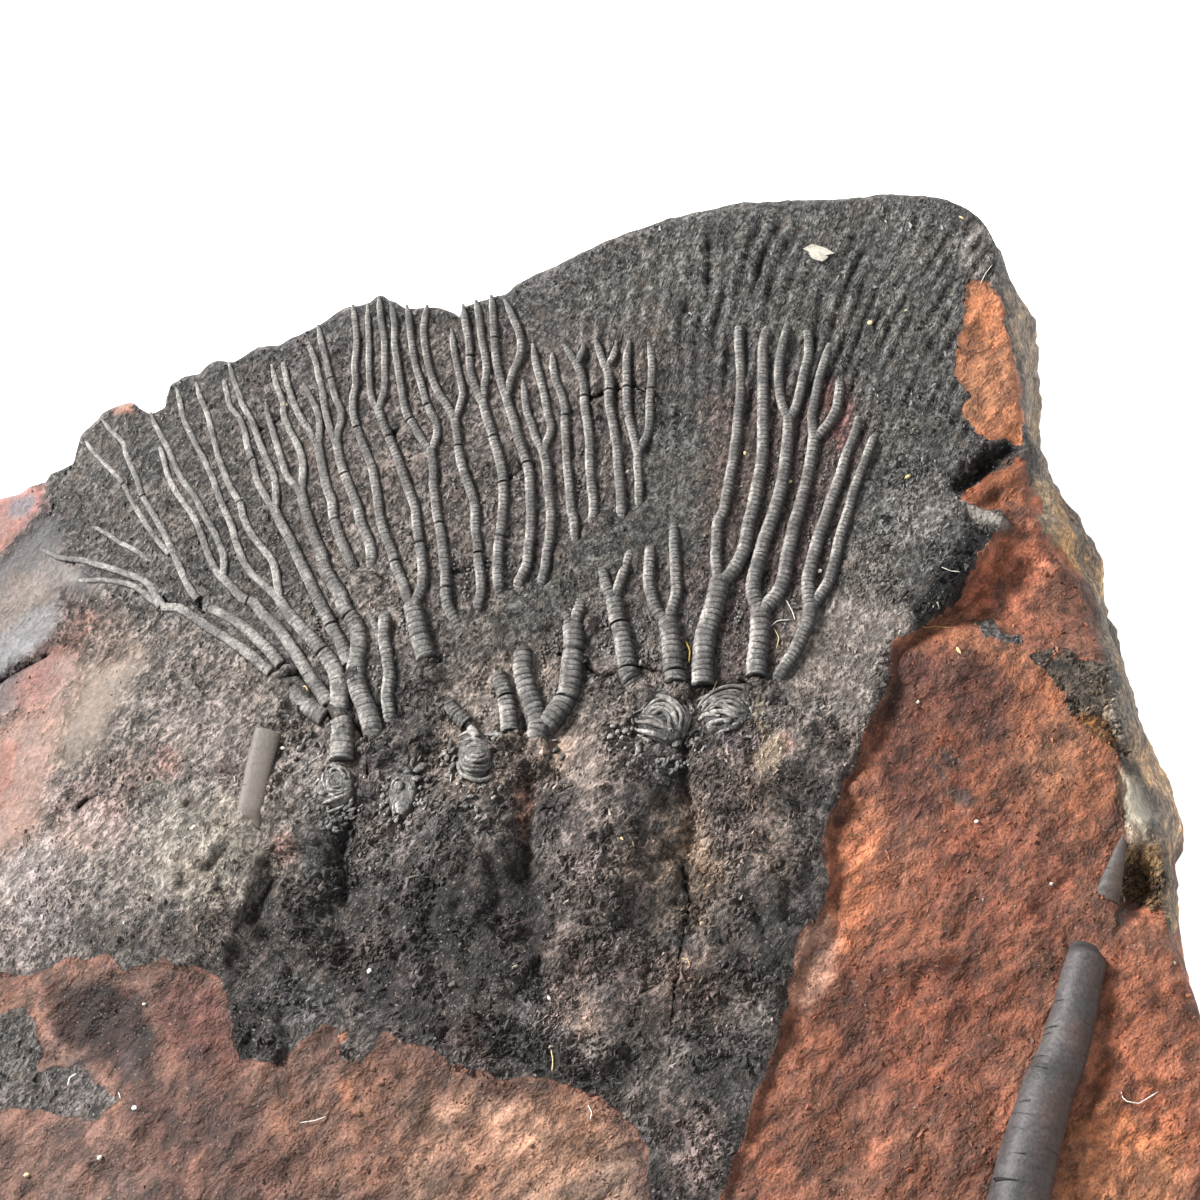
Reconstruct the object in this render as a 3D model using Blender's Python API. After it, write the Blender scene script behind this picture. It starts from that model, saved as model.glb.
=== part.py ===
"""A crinoid fossil: feathery arms, calyx plates and stem pieces in relief on a loose limestone slab.

The slab lies on its flat underside (z = 0) with the fossil face up.  Everything on the face is
drawn on a square sheet of SHEET_HALF * 2 steps, which leans back from the slab as if it were seen
from SIGHT_DISTANCE at SIGHT_ELEVATION: about five steps make a millimetre at the middle.
lay() carries a drawn point (column, row) along its line of sight down to the face.
"""
import math

import bmesh
import bpy
import numpy as np
from mathutils import Vector
from mathutils.bvhtree import BVHTree

MM = 0.001

# Driving dimensions, in metres unless named otherwise.
FACE_HEIGHT = 0.040          # middle of the fossil face above the underside
LEFT_DIP = 17.0              # mm that the far left of the face lies lower
GAP = 0.0003                 # every piece keeps this distance to the slab
BED_MARGIN = 0.00012         # extra room under a piece, where the slab's facets meet
ARM_RISE = 0.52              # height of an arm above its bed, as a share of its width
STEM_RISE = 0.62

# The leaning drawing sheet.
SHEET_HALF = 600.0
SHEET_REACH = 0.120          # half the sheet, measured on the middle of the face
SIGHT_DISTANCE = 0.448
SIGHT_ELEVATION = math.radians(66.0)
SIGHT_SIN = math.sin(SIGHT_ELEVATION)
SIGHT_COS = math.cos(SIGHT_ELEVATION)

# Mesh density.
SLAB_ACROSS = 39             # cells of the face from left to right
SLAB_ALONG = 34              # cells of the face from front to back
WALL_RINGS = 3
ARM_STEP = 0.0075            # distance between two cross-sections of an arm
STEM_STEP = 0.0070

# The rim of the face: column, row and how many mm the wall flares out on its way down.
RIM_BACK = (
    (-95, 560, 3), (-50, 522, 2), (0, 495, 2), (45, 479, 2), (60, 466, 1), (71, 460, 1), (80, 430, 1),
    (101, 409, 1), (128, 398, 1), (150, 409, 1), (165, 402, 1), (171, 379, 1), (198, 371, 1), (213, 360, 1),
    (240, 356, 1), (257, 346, 1), (280, 342, 1), (308, 326, 1), (343, 306, 1), (366, 302, 1), (380, 295, 1),
    (406, 306, 1), (441, 305, 1), (458, 314, 1), (466, 304, 1), (495, 294, 1), (512, 285, 1), (560, 260, 1),
    (600, 240, 1), (650, 222, 1), (700, 208, 1), (740, 198, 1), (800, 196, 1), (850, 194, 1), (905, 190, 2),
    (940, 194, 2), (965, 204, 2), (985, 222, 3),
)
RIM_RIGHT = (
    (985, 222, 3), (998, 245, 9), (1002, 290, 15), (1011, 335, 12), (1020, 373, 11), (1024, 406, 7),
    (1031, 440, 11), (1030, 500, 17), (1048, 540, 18), (1085, 580, 13), (1104, 640, 12), (1122, 700, 12),
    (1128, 750, 16), (1140, 800, 16), (1164, 850, 9), (1168, 900, 9), (1176, 945, 7), (1200, 1000, 4),
    (1214, 1060, 5), (1222, 1130, 6), (1216, 1195, 6), (1196, 1250, 5),
)
RIM_FRONT = (
    (-70, 1285, 4), (20, 1300, 4), (110, 1316, 5), (210, 1306, 4), (330, 1322, 5), (450, 1332, 4),
    (560, 1318, 5), (680, 1330, 4), (800, 1322, 5), (905, 1306, 4), (1010, 1300, 5), (1110, 1282, 4),
    (1196, 1250, 5),
)
RIM_LEFT = (
    (-95, 560, 3), (-118, 640, 3), (-126, 740, 4), (-114, 850, 3), (-128, 960, 4), (-122, 1070, 3),
    (-102, 1180, 4), (-70, 1285, 4),
)

# Mounds (+) and hollows (-) of the face: column, row, half-widths across and along, height in mm, lean.
MOUNDS = (
    (462, 850, 46, 100, 4.5, 0.0),        # left calyx
    (612, 840, 52, 105, 5.5, 0.0),        # middle calyx
    (765, 840, 56, 110, 4.5, 0.0),        # right calyx
    (175, 880, 110, 75, 4.0, -0.35),      # rock on the left of the crowns
    (346, 900, 16, 90, -2.5, 0.0),        # valley between that rock and the left calyx
    (530, 850, 10, 90, -1.8, 0.0),        # grooves between the calyces
    (688, 850, 9, 90, -1.8, 0.0),
    (120, 1030, 75, 42, -2.6, 0.1),       # shallow bowl at the front left
    (988, 464, 34, 13, -5.0, -0.55),      # dark notch by the right wall
    (1000, 495, 20, 14, -2.5, 0.0),
    (1146, 880, 22, 34, -7.0, 0.0),       # deep recess in the right wall
    (1150, 965, 48, 45, 2.5, 0.0),        # red knob in front of the recess
    (990, 610, 30, 10, -1.2, 0.0),
    (640, 480, 230, 150, 1.5, 0.0),       # the fan of arms is gently domed
)

# Where the grey layer ends on the right: row, column and how many mm the red rock lies lower.
STEP_EDGE = (
    (470, 1010, 0.0), (520, 1004, 1.0), (538, 994, 4.5), (550, 987, 6.0), (580, 956, 6.5), (600, 945, 6.0),
    (619, 922, 4.0), (647, 893, 2.0), (675, 888, 1.8), (708, 876, 2.0), (734, 863, 2.2), (780, 840, 1.6),
    (830, 827, 1.4), (880, 829, 1.4), (950, 803, 1.2), (1060, 770, 1.2), (1200, 720, 1.0),
)
STEP_WIDTH = 13.0            # sheet steps over which the layer drops

# Arms: for each one its strands, from tip to base, as (tip width mm, base width mm, route).
ARMS = {
    "arm_01": (
        (1.2, 1.7, ((40, 549), (61, 558), (81, 560), (100, 565), (130, 575), (149, 585), (158, 599), (163, 606))),
        (1.1, 1.5, ((74, 579), (106, 580), (132, 585), (150, 598), (161, 606))),
        (1.8, 2.2, ((160, 606), (182, 608), (204, 623), (230, 641), (248, 656), (260, 667), (271, 675))),
    ),
    "arm_01_base": (
        (3.0, 3.4, ((287, 683), (296, 696), (305, 705), (316, 713), (323, 717))),
    ),
    "arm_02": (
        (1.1, 1.6, ((101, 418), (114, 435), (123, 442), (133, 469), (141, 492), (153, 513), (171, 547), (185, 579))),
        (1.6, 2.4, ((184, 577), (193, 593), (204, 604), (218, 610), (235, 618), (257, 637), (276, 658))),
        (1.0, 1.4, ((83, 435), (101, 459), (120, 479), (140, 515), (157, 540), (172, 556))),
    ),
    "arm_02_side": (
        (1.0, 1.2, ((89, 523), (118, 541), (138, 552), (152, 563))),
    ),
    "arm_03": (
        (1.2, 1.7, ((158, 440), (164, 460), (176, 492), (196, 521), (208, 553), (223, 580))),
        (1.2, 1.7, ((150, 411), (161, 435), (176, 467), (195, 497), (216, 536), (224, 560), (223, 580))),
        (2.0, 2.7, ((223, 578), (243, 597), (264, 615), (286, 639), (303, 665), (318, 689))),
    ),
    "arm_04": (
        (1.3, 1.8, ((176, 385), (184, 419), (199, 450), (215, 484), (231, 525), (249, 570), (281, 602))),
        (1.3, 1.8, ((196, 380), (207, 412), (219, 458), (238, 501), (261, 546), (276, 573), (280, 602))),
        (2.3, 3.5, ((280, 600), (301, 628), (327, 658), (339, 684), (339, 712))),
    ),
    "trunk_left": (
        (4.0, 4.3, ((341, 723), (343, 742), (342, 761))),
    ),
    "arm_05": (
        (1.3, 1.7, ((222, 375), (230, 407), (244, 430), (253, 464), (263, 494), (275, 511))),
        (1.3, 1.7, ((229, 363), (244, 407), (260, 444), (273, 473), (276, 492), (274, 511))),
        (2.1, 2.7, ((274, 509), (289, 538), (304, 570), (319, 602), (337, 637))),
    ),
    "arm_06": (
        (1.3, 1.8, ((265, 402), (275, 439), (287, 476), (302, 498))),
        (1.3, 1.8, ((272, 365), (281, 404), (298, 445), (303, 474), (302, 498))),
        (2.2, 3.3, ((302, 496), (310, 524), (325, 570), (341, 596), (356, 627), (359, 648), (356, 668), (357, 682))),
        (3.4, 3.6, ((356, 680), (365, 699), (369, 715), (374, 732), (375, 743))),
    ),
    "arm_07": (
        (1.3, 1.8, ((282, 356), (289, 389), (297, 410), (310, 431), (318, 447))),
        (1.3, 1.7, ((302, 383), (311, 402), (318, 420), (318, 447))),
        (2.0, 2.4, ((318, 445), (327, 488), (336, 526), (350, 561), (355, 576))),
    ),
    "arm_08": (
        (1.3, 1.7, ((308, 338), (318, 366), (323, 388), (328, 418), (337, 446))),
        (1.4, 1.8, ((318, 324), (326, 360), (332, 384), (341, 412), (336, 446))),
        (2.0, 2.3, ((337, 444), (347, 481), (361, 524), (371, 552), (370, 573))),
    ),
    "arm_09": (
        (1.4, 2.4, ((353, 305), (357, 344), (355, 384), (352, 403), (366, 451), (378, 499), (387, 540), (413, 608))),
        (1.3, 1.6, ((368, 304), (369, 366), (372, 399), (379, 411))),
        (1.4, 1.8, ((379, 297), (385, 344), (385, 387), (378, 411))),
        (1.9, 2.3, ((378, 409), (391, 442), (408, 492), (419, 538), (424, 570), (422, 590), (413, 608))),
        (3.3, 3.7, ((412, 604), (417, 624), (427, 660))),
    ),
    "arm_10": (
        (2.6, 2.6, ((385, 607), (385, 641), (389, 678), (389, 705), (391, 733))),
        (1.3, 1.7, ((367, 608), (373, 621), (385, 650))),
    ),
    "arm_11": (
        (1.5, 1.9, ((391, 304), (395, 346), (401, 386), (409, 418), (431, 451))),
        (1.5, 1.9, ((406, 305), (412, 344), (421, 382), (432, 414), (437, 434), (431, 452))),
        (2.0, 2.5, ((431, 450), (434, 487), (441, 533), (446, 580), (447, 602), (464, 634))),
    ),
    "arm_12": (
        (1.6, 1.9, ((427, 305), (425, 346), (432, 378), (446, 404), (455, 421))),
        (1.5, 1.8, ((450, 328), (457, 365), (462, 393), (455, 421))),
        (2.0, 2.2, ((455, 419), (460, 458), (470, 491), (476, 532), (481, 578), (478, 605), (475, 612))),
    ),
    "arm_13": (
        (1.7, 2.0, ((463, 305), (470, 354), (473, 380), (482, 403))),
        (1.7, 1.9, ((475, 300), (482, 345), (486, 372), (482, 403))),
        (2.1, 2.3, ((482, 401), (495, 445), (504, 490), (503, 520), (498, 564), (501, 597))),
    ),
    "arm_14": (
        (1.7, 2.0, ((491, 296), (496, 349), (506, 396))),
        (1.7, 2.0, ((505, 300), (520, 340), (519, 360), (505, 396))),
        (2.1, 2.3, ((505, 394), (519, 442), (529, 475), (532, 521), (527, 563), (514, 589))),
    ),
    "arm_15": (
        (1.6, 1.9, ((523, 378), (527, 412), (542, 451))),
        (1.7, 2.0, ((533, 342), (541, 382), (551, 430), (542, 451))),
        (2.2, 2.2, ((542, 449), (548, 485), (551, 520), (546, 560), (539, 590))),
    ),
    "arm_16": (
        (1.8, 2.1, ((551, 350), (555, 378), (565, 410), (567, 461), (573, 503), (574, 547))),
    ),
    "arm_17": (
        (1.4, 1.8, ((562, 340), (567, 350), (577, 362))),
        (1.4, 1.8, ((583, 340), (582, 349), (576, 362))),
        (1.9, 2.1, ((576, 360), (585, 407), (590, 462), (594, 534))),
    ),
    "arm_18": (
        (1.5, 1.8, ((595, 334), (600, 350), (606, 369))),
        (1.6, 1.8, ((618, 338), (614, 354), (605, 369))),
        (2.0, 2.2, ((606, 367), (609, 402), (617, 450), (621, 523))),
    ),
    "arm_19": (
        (1.8, 2.0, ((630, 338), (627, 378), (630, 422), (638, 451))),
        (1.8, 2.0, ((648, 340), (652, 378), (649, 426), (638, 451))),
        (2.1, 1.9, ((638, 449), (639, 510))),
    ),
    "arm_20": (
        (2.2, 2.6, ((600, 558), (605, 582), (614, 603))),
        (2.0, 2.4, ((635, 540), (624, 570), (613, 603))),
        (3.2, 3.5, ((614, 600), (620, 630), (628, 670), (636, 686))),
    ),
    "arm_21": (
        (2.4, 2.7, ((652, 537), (649, 575), (656, 609), (667, 624))),
        (2.2, 2.6, ((673, 512), (676, 560), (676, 598), (667, 624))),
        (3.5, 3.8, ((667, 621), (672, 651), (675, 683))),
    ),
    "arm_22": (
        (2.1, 2.5, ((740, 318), (741, 380), (735, 447), (724, 508), (716, 550), (719, 581))),
        (2.3, 2.9, ((770, 321), (763, 365), (763, 440), (755, 497), (741, 555), (722, 583))),
        (3.6, 3.8, ((719, 579), (710, 618), (704, 650), (703, 684))),
    ),
    "arm_23": (
        (2.0, 2.2, ((790, 318), (781, 353), (780, 390), (789, 417))),
        (2.1, 2.3, ((807, 322), (808, 352), (799, 398), (788, 417))),
        (2.5, 3.0, ((788, 415), (784, 473), (770, 524), (756, 573), (759, 612))),
        (2.0, 2.3, ((832, 340), (818, 385), (812, 416), (814, 437))),
        (2.1, 2.3, ((842, 372), (837, 405), (826, 426), (814, 437))),
        (2.5, 3.0, ((814, 435), (804, 487), (790, 541), (781, 580), (761, 612))),
        (3.5, 3.6, ((760, 610), (759, 645), (756, 675))),
    ),
    "arm_24": (
        (2.0, 2.9, ((861, 408), (846, 456), (831, 500), (815, 550), (808, 585), (810, 609))),
        (1.9, 2.6, ((878, 428), (859, 476), (844, 524), (833, 568), (810, 609))),
        (3.0, 2.6, ((810, 607), (804, 635), (790, 659), (773, 685))),
    ),
    "arm_25": (
        (3.3, 4.0, ((522, 640), (523, 662), (530, 696), (538, 727), (536, 752))),
        (2.2, 2.8, ((556, 602), (563, 612), (573, 628))),
        (2.4, 2.8, ((580, 592), (579, 606), (573, 628))),
        (3.6, 4.0, ((573, 626), (572, 660), (568, 694), (552, 719), (539, 736))),
    ),
    "arm_26": (
        (3.0, 3.4, ((498, 672), (505, 698), (510, 732))),
    ),
    "arm_27": (
        (2.6, 3.2, ((446, 695), (454, 711), (466, 723))),
    ),
}

STEMS = {
    "stem_column": (
        (7.0, 9.0, ((1092, 944), (1084, 978), (1076, 1010), (1060, 1056))),
        (8.6, 11.0, ((1062, 1050), (1045, 1092), (1031, 1140), (1019, 1200), (1010, 1245))),
    ),
    "stem_tip": (
        (1.2, 3.6, ((1123, 826), (1118, 848), (1110, 872), (1104, 895))),
    ),
    "stem_fragment": (
        (4.6, 5.0, ((268, 733), (262, 757), (255, 785), (247, 826))),
    ),
}

# Clusters of calyx plates: column, row, half-widths in mm, height in mm, folds round it.
PLATES = {
    "plates_left": (336, 787, 3.8, 4.6, 1.9, 7),
    "plates_small": (402, 790, 3.0, 5.6, 1.5, 5),
    "plates_middle": (475, 756, 3.6, 5.6, 2.2, 6),
    "plates_swirl": (664, 722, 5.0, 5.6, 2.8, 9),
    "plates_right": (726, 714, 5.2, 4.4, 2.3, 8),
}
PLATE_RINGS = 4
PLATE_SPOKES = 18
FOLD_DEPTH = 0.13

COLOURS = {
    "rock": ((0.075, 0.068, 0.066, 1.0), 0.85),
    "fossil": ((0.190, 0.180, 0.168, 1.0), 0.62),
    "stem": ((0.145, 0.138, 0.135, 1.0), 0.55),
}


# --- the leaning sheet -----------------------------------------------------------------------

def to_sheet(x, y, z):
    """Column and row at which a point over the slab is seen."""
    lift = z - FACE_HEIGHT
    up = y * SIGHT_SIN + lift * SIGHT_COS
    scale = SHEET_HALF * SIGHT_DISTANCE / SHEET_REACH / (SIGHT_DISTANCE + y * SIGHT_COS - lift * SIGHT_SIN)
    return SHEET_HALF + x * scale, SHEET_HALF - up * scale


def at_height(column, row, z):
    """Plan position of a drawn point that lies at height z."""
    lift = z - FACE_HEIGHT
    slope = SHEET_REACH / SHEET_HALF / SIGHT_DISTANCE
    rise = (SHEET_HALF - row) * slope
    y = (rise * (SIGHT_DISTANCE - lift * SIGHT_SIN) - lift * SIGHT_COS) / (SIGHT_SIN - rise * SIGHT_COS)
    x = (column - SHEET_HALF) * slope * (SIGHT_DISTANCE + y * SIGHT_COS - lift * SIGHT_SIN)
    return x, y


def smooth(t):
    """0 below 0, 1 above 1 and a soft curve between."""
    t = np.clip(t, 0.0, 1.0)
    return t * t * (3.0 - 2.0 * t)


def face_height(x, y):
    """Height of the fossil face, by plan position."""
    column, row = to_sheet(x, y, FACE_HEIGHT)
    height = -LEFT_DIP * smooth((250.0 - column) / 330.0)
    for middle, level, across, along, rise, lean in MOUNDS:
        u = (column - middle) / across
        v = (row - level - lean * (column - middle)) / along
        height = height + rise * np.exp(-(u * u + v * v))
    rows, edge, drop = (np.array(values) for values in zip(*STEP_EDGE))
    past_edge = (column - np.interp(row, rows, edge)) / STEP_WIDTH
    height = height - np.interp(row, rows, drop) * smooth(past_edge)
    return FACE_HEIGHT + height * MM


def lay(column, row):
    """Plan position and height of a drawn point on the face."""
    z = FACE_HEIGHT
    for _ in range(8):
        x, y = at_height(column, row, z)
        z = float(face_height(x, y))
    return x, y, z


# --- the slab --------------------------------------------------------------------------------

def even_points(points, count):
    """The polyline's points at even distances, ends included."""
    points = np.array(points, dtype=float)
    run = np.concatenate(([0.0], np.cumsum(np.linalg.norm(np.diff(points[:, :2], axis=0), axis=1))))
    stops = np.linspace(0.0, run[-1], count)
    return np.stack([np.interp(stops, run, points[:, k]) for k in range(points.shape[1])], axis=1)


def rim_side(drawn, cells):
    """One side of the rim as plan positions with the flare of the wall, in metres."""
    laid = [(*lay(column, row)[:2], flare * MM) for column, row, flare in drawn]
    return even_points(laid, cells + 1)


def face_grid(back, right, front, left):
    """Plan positions filling the rim, blended from its four sides (rows from front to back)."""
    s = np.linspace(0.0, 1.0, len(back))[None, :, None]
    t = np.linspace(0.0, 1.0, len(left))[:, None, None]
    across = (1 - s) * left[:, None, :2] + s * right[:, None, :2]
    along = (1 - t) * front[None, :, :2] + t * back[None, :, :2]
    corners = ((1 - s) * (1 - t) * front[0, :2] + s * (1 - t) * front[-1, :2]
               + (1 - s) * t * back[0, :2] + s * t * back[-1, :2])
    return across + along - corners


def outward(loop):
    """Unit normals of a closed plan loop that runs anticlockwise."""
    along = np.roll(loop, -1, axis=0) - np.roll(loop, 1, axis=0)
    normal = np.stack((along[:, 1], -along[:, 0]), axis=1)
    return normal / np.linalg.norm(normal, axis=1)[:, None]


def slab_shape():
    """Vertices and faces of the slab: face grid, broken walls and flat underside."""
    back = rim_side(RIM_BACK, SLAB_ACROSS)
    front = rim_side(RIM_FRONT, SLAB_ACROSS)
    right = rim_side(RIM_RIGHT, SLAB_ALONG)[::-1]
    left = rim_side(RIM_LEFT, SLAB_ALONG)[::-1]
    plan = face_grid(back, right, front, left)
    rows, columns = plan.shape[:2]
    heights = face_height(plan[..., 0], plan[..., 1])
    verts = [(x, y, z) for (x, y), z in zip(plan.reshape(-1, 2), heights.ravel())]
    faces = []
    for j in range(rows - 1):
        for i in range(columns - 1):
            a = j * columns + i
            faces.append((a, a + 1, a + columns + 1, a + columns))

    ring = ([i for i in range(columns)] + [j * columns + columns - 1 for j in range(1, rows)]
            + [(rows - 1) * columns + i for i in range(columns - 2, -1, -1)]
            + [j * columns for j in range(rows - 2, 0, -1)])
    flare = np.concatenate((front[:, 2], right[1:, 2], back[-2::-1, 2], left[-2:0:-1, 2]))
    rim = np.array([verts[i] for i in ring])
    normal = outward(rim[:, :2])
    previous = ring
    for level in range(1, WALL_RINGS + 1):
        share = level / WALL_RINGS
        bulge = 0.0012 * math.sin(math.pi * share) * np.sin(np.arange(len(ring)) * 1.9 + level * 2.3)
        spread = (flare * math.sin(0.5 * math.pi * share) ** 0.75 + bulge)[:, None]
        current = []
        for (x, y), z in zip(rim[:, :2] + normal * spread, rim[:, 2] * (1.0 - share)):
            current.append(len(verts))
            verts.append((x, y, z))
        for k in range(len(ring)):
            n = (k + 1) % len(ring)
            faces.append((previous[k], current[k], current[n], previous[n]))
        previous = current
    faces.append(tuple(reversed(previous)))
    return verts, faces


# --- pieces on the face ----------------------------------------------------------------------

class Bed:
    """The slab's own facets, asked for their height under a plan position."""

    def __init__(self, slab):
        mesh = slab.data
        mesh.calc_loop_triangles()
        triangles = [tuple(tri.vertices) for tri in mesh.loop_triangles]
        self.tree = BVHTree.FromPolygons([v.co for v in mesh.vertices], triangles)

    def height(self, x, y):
        hit = self.tree.ray_cast(Vector((x, y, 1.0)), Vector((0.0, 0.0, -1.0)))
        return hit[0].z if hit[0] else 0.0


def curve_points(route, step):
    """Plan positions along a soft curve through a drawn route."""
    knots = np.array([lay(column, row)[:2] for column, row in route])
    ends = np.vstack((2 * knots[0] - knots[1], knots, 2 * knots[-1] - knots[-2]))
    fine = []
    for a, b, c, d in zip(ends[:-3], ends[1:-2], ends[2:-1], ends[3:]):
        for t in np.linspace(0.0, 1.0, 12, endpoint=False):
            fine.append(0.5 * (2 * b + (c - a) * t + (2 * a - 5 * b + 4 * c - d) * t * t
                               + (3 * b - a - 3 * c + d) * t ** 3))
    fine.append(knots[-1])
    length = np.linalg.norm(np.diff(np.array(fine), axis=0), axis=1).sum()
    return even_points(fine, max(2, round(length / step)) + 1)


def strand_mesh(bed, strand, step, rise):
    """A half-round bar laid on the slab: flat bed, two shoulders and a crest."""
    tip_width, base_width, route = strand
    line = curve_points(route, step)
    along = np.gradient(line, axis=0)
    along /= np.linalg.norm(along, axis=1)[:, None]
    side = np.stack((along[:, 1], -along[:, 0]), axis=1)
    widths = np.linspace(tip_width, base_width, len(line)) * MM

    probes = []
    for (x, y), (sx, sy), width in zip(line, side, widths):
        probes.append(max(bed.height(x + sx * width * k, y + sy * width * k) for k in (-0.5, -0.25, 0, 0.25, 0.5)))
    mids = []
    for k in range(len(line) - 1):
        x, y = (line[k] + line[k + 1]) / 2
        sx, sy = side[k] * widths[k]
        mids.append(max(bed.height(x + sx * s, y + sy * s) for s in (-0.5, 0, 0.5)))

    mesh = bmesh.new()
    rings = []
    for k, ((x, y), (sx, sy), width) in enumerate(zip(line, side, widths)):
        near = [probes[k]] + mids[max(0, k - 1):k + 1]
        floor = max(near) + GAP + BED_MARGIN
        crest = floor + rise * width
        shoulder = floor + rise * width * 0.72
        section = ((-0.5, floor), (-0.36, shoulder), (0.0, crest), (0.36, shoulder), (0.5, floor))
        rings.append([mesh.verts.new((x + sx * width * s, y + sy * width * s, z)) for s, z in section])
    count = len(rings[0])
    for first, second in zip(rings[:-1], rings[1:]):
        for k in range(count):
            n = (k + 1) % count
            mesh.faces.new((first[k], first[n], second[n], second[k]))
    mesh.faces.new(rings[0])
    mesh.faces.new(rings[-1])
    return mesh


def plate_mesh(bed, column, row, across, along, rise, folds):
    """A low folded dome of calyx plates."""
    middle_x, middle_y, _ = lay(column, row)
    mesh = bmesh.new()

    def point(ring, spoke, top):
        share = ring / PLATE_RINGS
        angle = 2 * math.pi * spoke / PLATE_SPOKES
        x = middle_x + across * MM * share * math.cos(angle)
        y = middle_y + along * MM * share * math.sin(angle)
        z = bed.height(x, y) + GAP + 2 * BED_MARGIN
        if top:
            fold = 1 + FOLD_DEPTH * math.cos(folds * angle + 3.0 * share)
            z += rise * MM * math.sqrt(max(0.0, 1 - share * share)) * fold + 0.0003
        return mesh.verts.new((x, y, z))

    spokes = range(PLATE_SPOKES)
    top = [[point(ring, spoke, True) for spoke in spokes] for ring in range(1, PLATE_RINGS + 1)]
    bottom = [[point(ring, spoke, False) for spoke in spokes] for ring in range(1, PLATE_RINGS + 1)]
    for rings, tip in ((top, point(0, 0, True)), (bottom, point(0, 0, False))):
        for k in spokes:
            n = (k + 1) % PLATE_SPOKES
            mesh.faces.new((tip, rings[0][k], rings[0][n]))
            for inner, outer in zip(rings[:-1], rings[1:]):
                mesh.faces.new((inner[k], outer[k], outer[n], inner[n]))
    for k in spokes:
        n = (k + 1) % PLATE_SPOKES
        mesh.faces.new((top[-1][k], bottom[-1][k], bottom[-1][n], top[-1][n]))
    return mesh


# --- objects ---------------------------------------------------------------------------------

def make_material(name):
    colour, roughness = COLOURS[name]
    material = bpy.data.materials.new(name)
    material.use_nodes = True
    shader = material.node_tree.nodes["Principled BSDF"]
    shader.inputs["Base Color"].default_value = colour
    shader.inputs["Roughness"].default_value = roughness
    shader.inputs["Metallic"].default_value = 0.0
    return material


def add_object(name, mesh, material):
    """Link a bmesh as a named object, closed and facing outward."""
    bmesh.ops.recalc_face_normals(mesh, faces=mesh.faces)
    data = bpy.data.meshes.new(name)
    mesh.to_mesh(data)
    mesh.free()
    data.materials.append(material)
    obj = bpy.data.objects.new(name, data)
    bpy.context.scene.collection.objects.link(obj)
    return obj


def fuse(name, meshes, material):
    """One object from overlapping closed strands, joined by a Boolean union."""
    base = add_object(name, meshes[0], material)
    for number, mesh in enumerate(meshes[1:], start=1):
        other = add_object(f"{name}_strand_{number}", mesh, material)
        union = base.modifiers.new("union", "BOOLEAN")
        union.operation = "UNION"
        union.object = other
        union.solver = "EXACT"
        depsgraph = bpy.context.evaluated_depsgraph_get()
        joined = bpy.data.meshes.new_from_object(base.evaluated_get(depsgraph))
        base.modifiers.clear()
        base.data = joined
        bpy.data.objects.remove(other, do_unlink=True)
    return base


def remove_all():
    for obj in list(bpy.data.objects):
        bpy.data.objects.remove(obj, do_unlink=True)


def centre_on_underside(slab):
    """Move every mesh so that the slab's box is centred on the origin."""
    corners = np.array([v.co[:2] for v in slab.data.vertices])
    middle = (corners.min(axis=0) + corners.max(axis=0)) / 2
    for obj in bpy.data.objects:
        for vert in obj.data.vertices:
            vert.co.x -= middle[0]
            vert.co.y -= middle[1]


def build():
    remove_all()
    materials = {name: make_material(name) for name in COLOURS}
    verts, faces = slab_shape()
    mesh = bmesh.new()
    corners = [mesh.verts.new(co) for co in verts]
    for face in faces:
        mesh.faces.new([corners[i] for i in face])
    bmesh.ops.triangulate(mesh, faces=mesh.faces)
    slab = add_object("matrix_slab", mesh, materials["rock"])
    bed = Bed(slab)
    for name, strands in ARMS.items():
        fuse(name, [strand_mesh(bed, strand, ARM_STEP, ARM_RISE) for strand in strands], materials["fossil"])
    for name, strands in STEMS.items():
        fuse(name, [strand_mesh(bed, strand, STEM_STEP, STEM_RISE) for strand in strands], materials["stem"])
    for name, sizes in PLATES.items():
        add_object(name, plate_mesh(bed, *sizes), materials["fossil"])
    centre_on_underside(slab)


build()
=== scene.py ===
"""A crinoid fossil on its slab: fine rock, ringed arms, folded plates, stems and loose grit.

Everything on the face is drawn on a square sheet that leans back from the slab, in steps (column,
row) of about a fifth of a millimetre, and lay() carries a drawn point down to the face.  Lengths are
in metres unless a name or comment says mm.
"""

import math

import bpy
import numpy as np
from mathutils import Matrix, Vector


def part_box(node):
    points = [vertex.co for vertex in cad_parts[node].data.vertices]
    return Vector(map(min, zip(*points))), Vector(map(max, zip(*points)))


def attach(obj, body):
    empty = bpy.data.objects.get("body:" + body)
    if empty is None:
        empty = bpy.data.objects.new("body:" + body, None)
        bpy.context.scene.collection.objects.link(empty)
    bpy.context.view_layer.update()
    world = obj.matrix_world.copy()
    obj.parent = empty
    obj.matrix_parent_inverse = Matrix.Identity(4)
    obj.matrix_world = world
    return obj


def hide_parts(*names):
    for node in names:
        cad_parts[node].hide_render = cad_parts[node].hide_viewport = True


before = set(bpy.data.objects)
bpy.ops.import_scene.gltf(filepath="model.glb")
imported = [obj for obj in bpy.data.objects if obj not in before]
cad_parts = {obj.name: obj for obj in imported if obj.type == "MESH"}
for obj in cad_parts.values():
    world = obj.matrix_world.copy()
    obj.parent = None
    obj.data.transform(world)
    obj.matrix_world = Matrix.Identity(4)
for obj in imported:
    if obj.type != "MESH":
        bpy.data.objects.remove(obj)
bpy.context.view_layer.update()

MM = 0.001
FACE_HEIGHT = 0.040             # middle of the fossil face above the underside
LEFT_DIP = 17.0                 # mm by which the face falls away at the left

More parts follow.
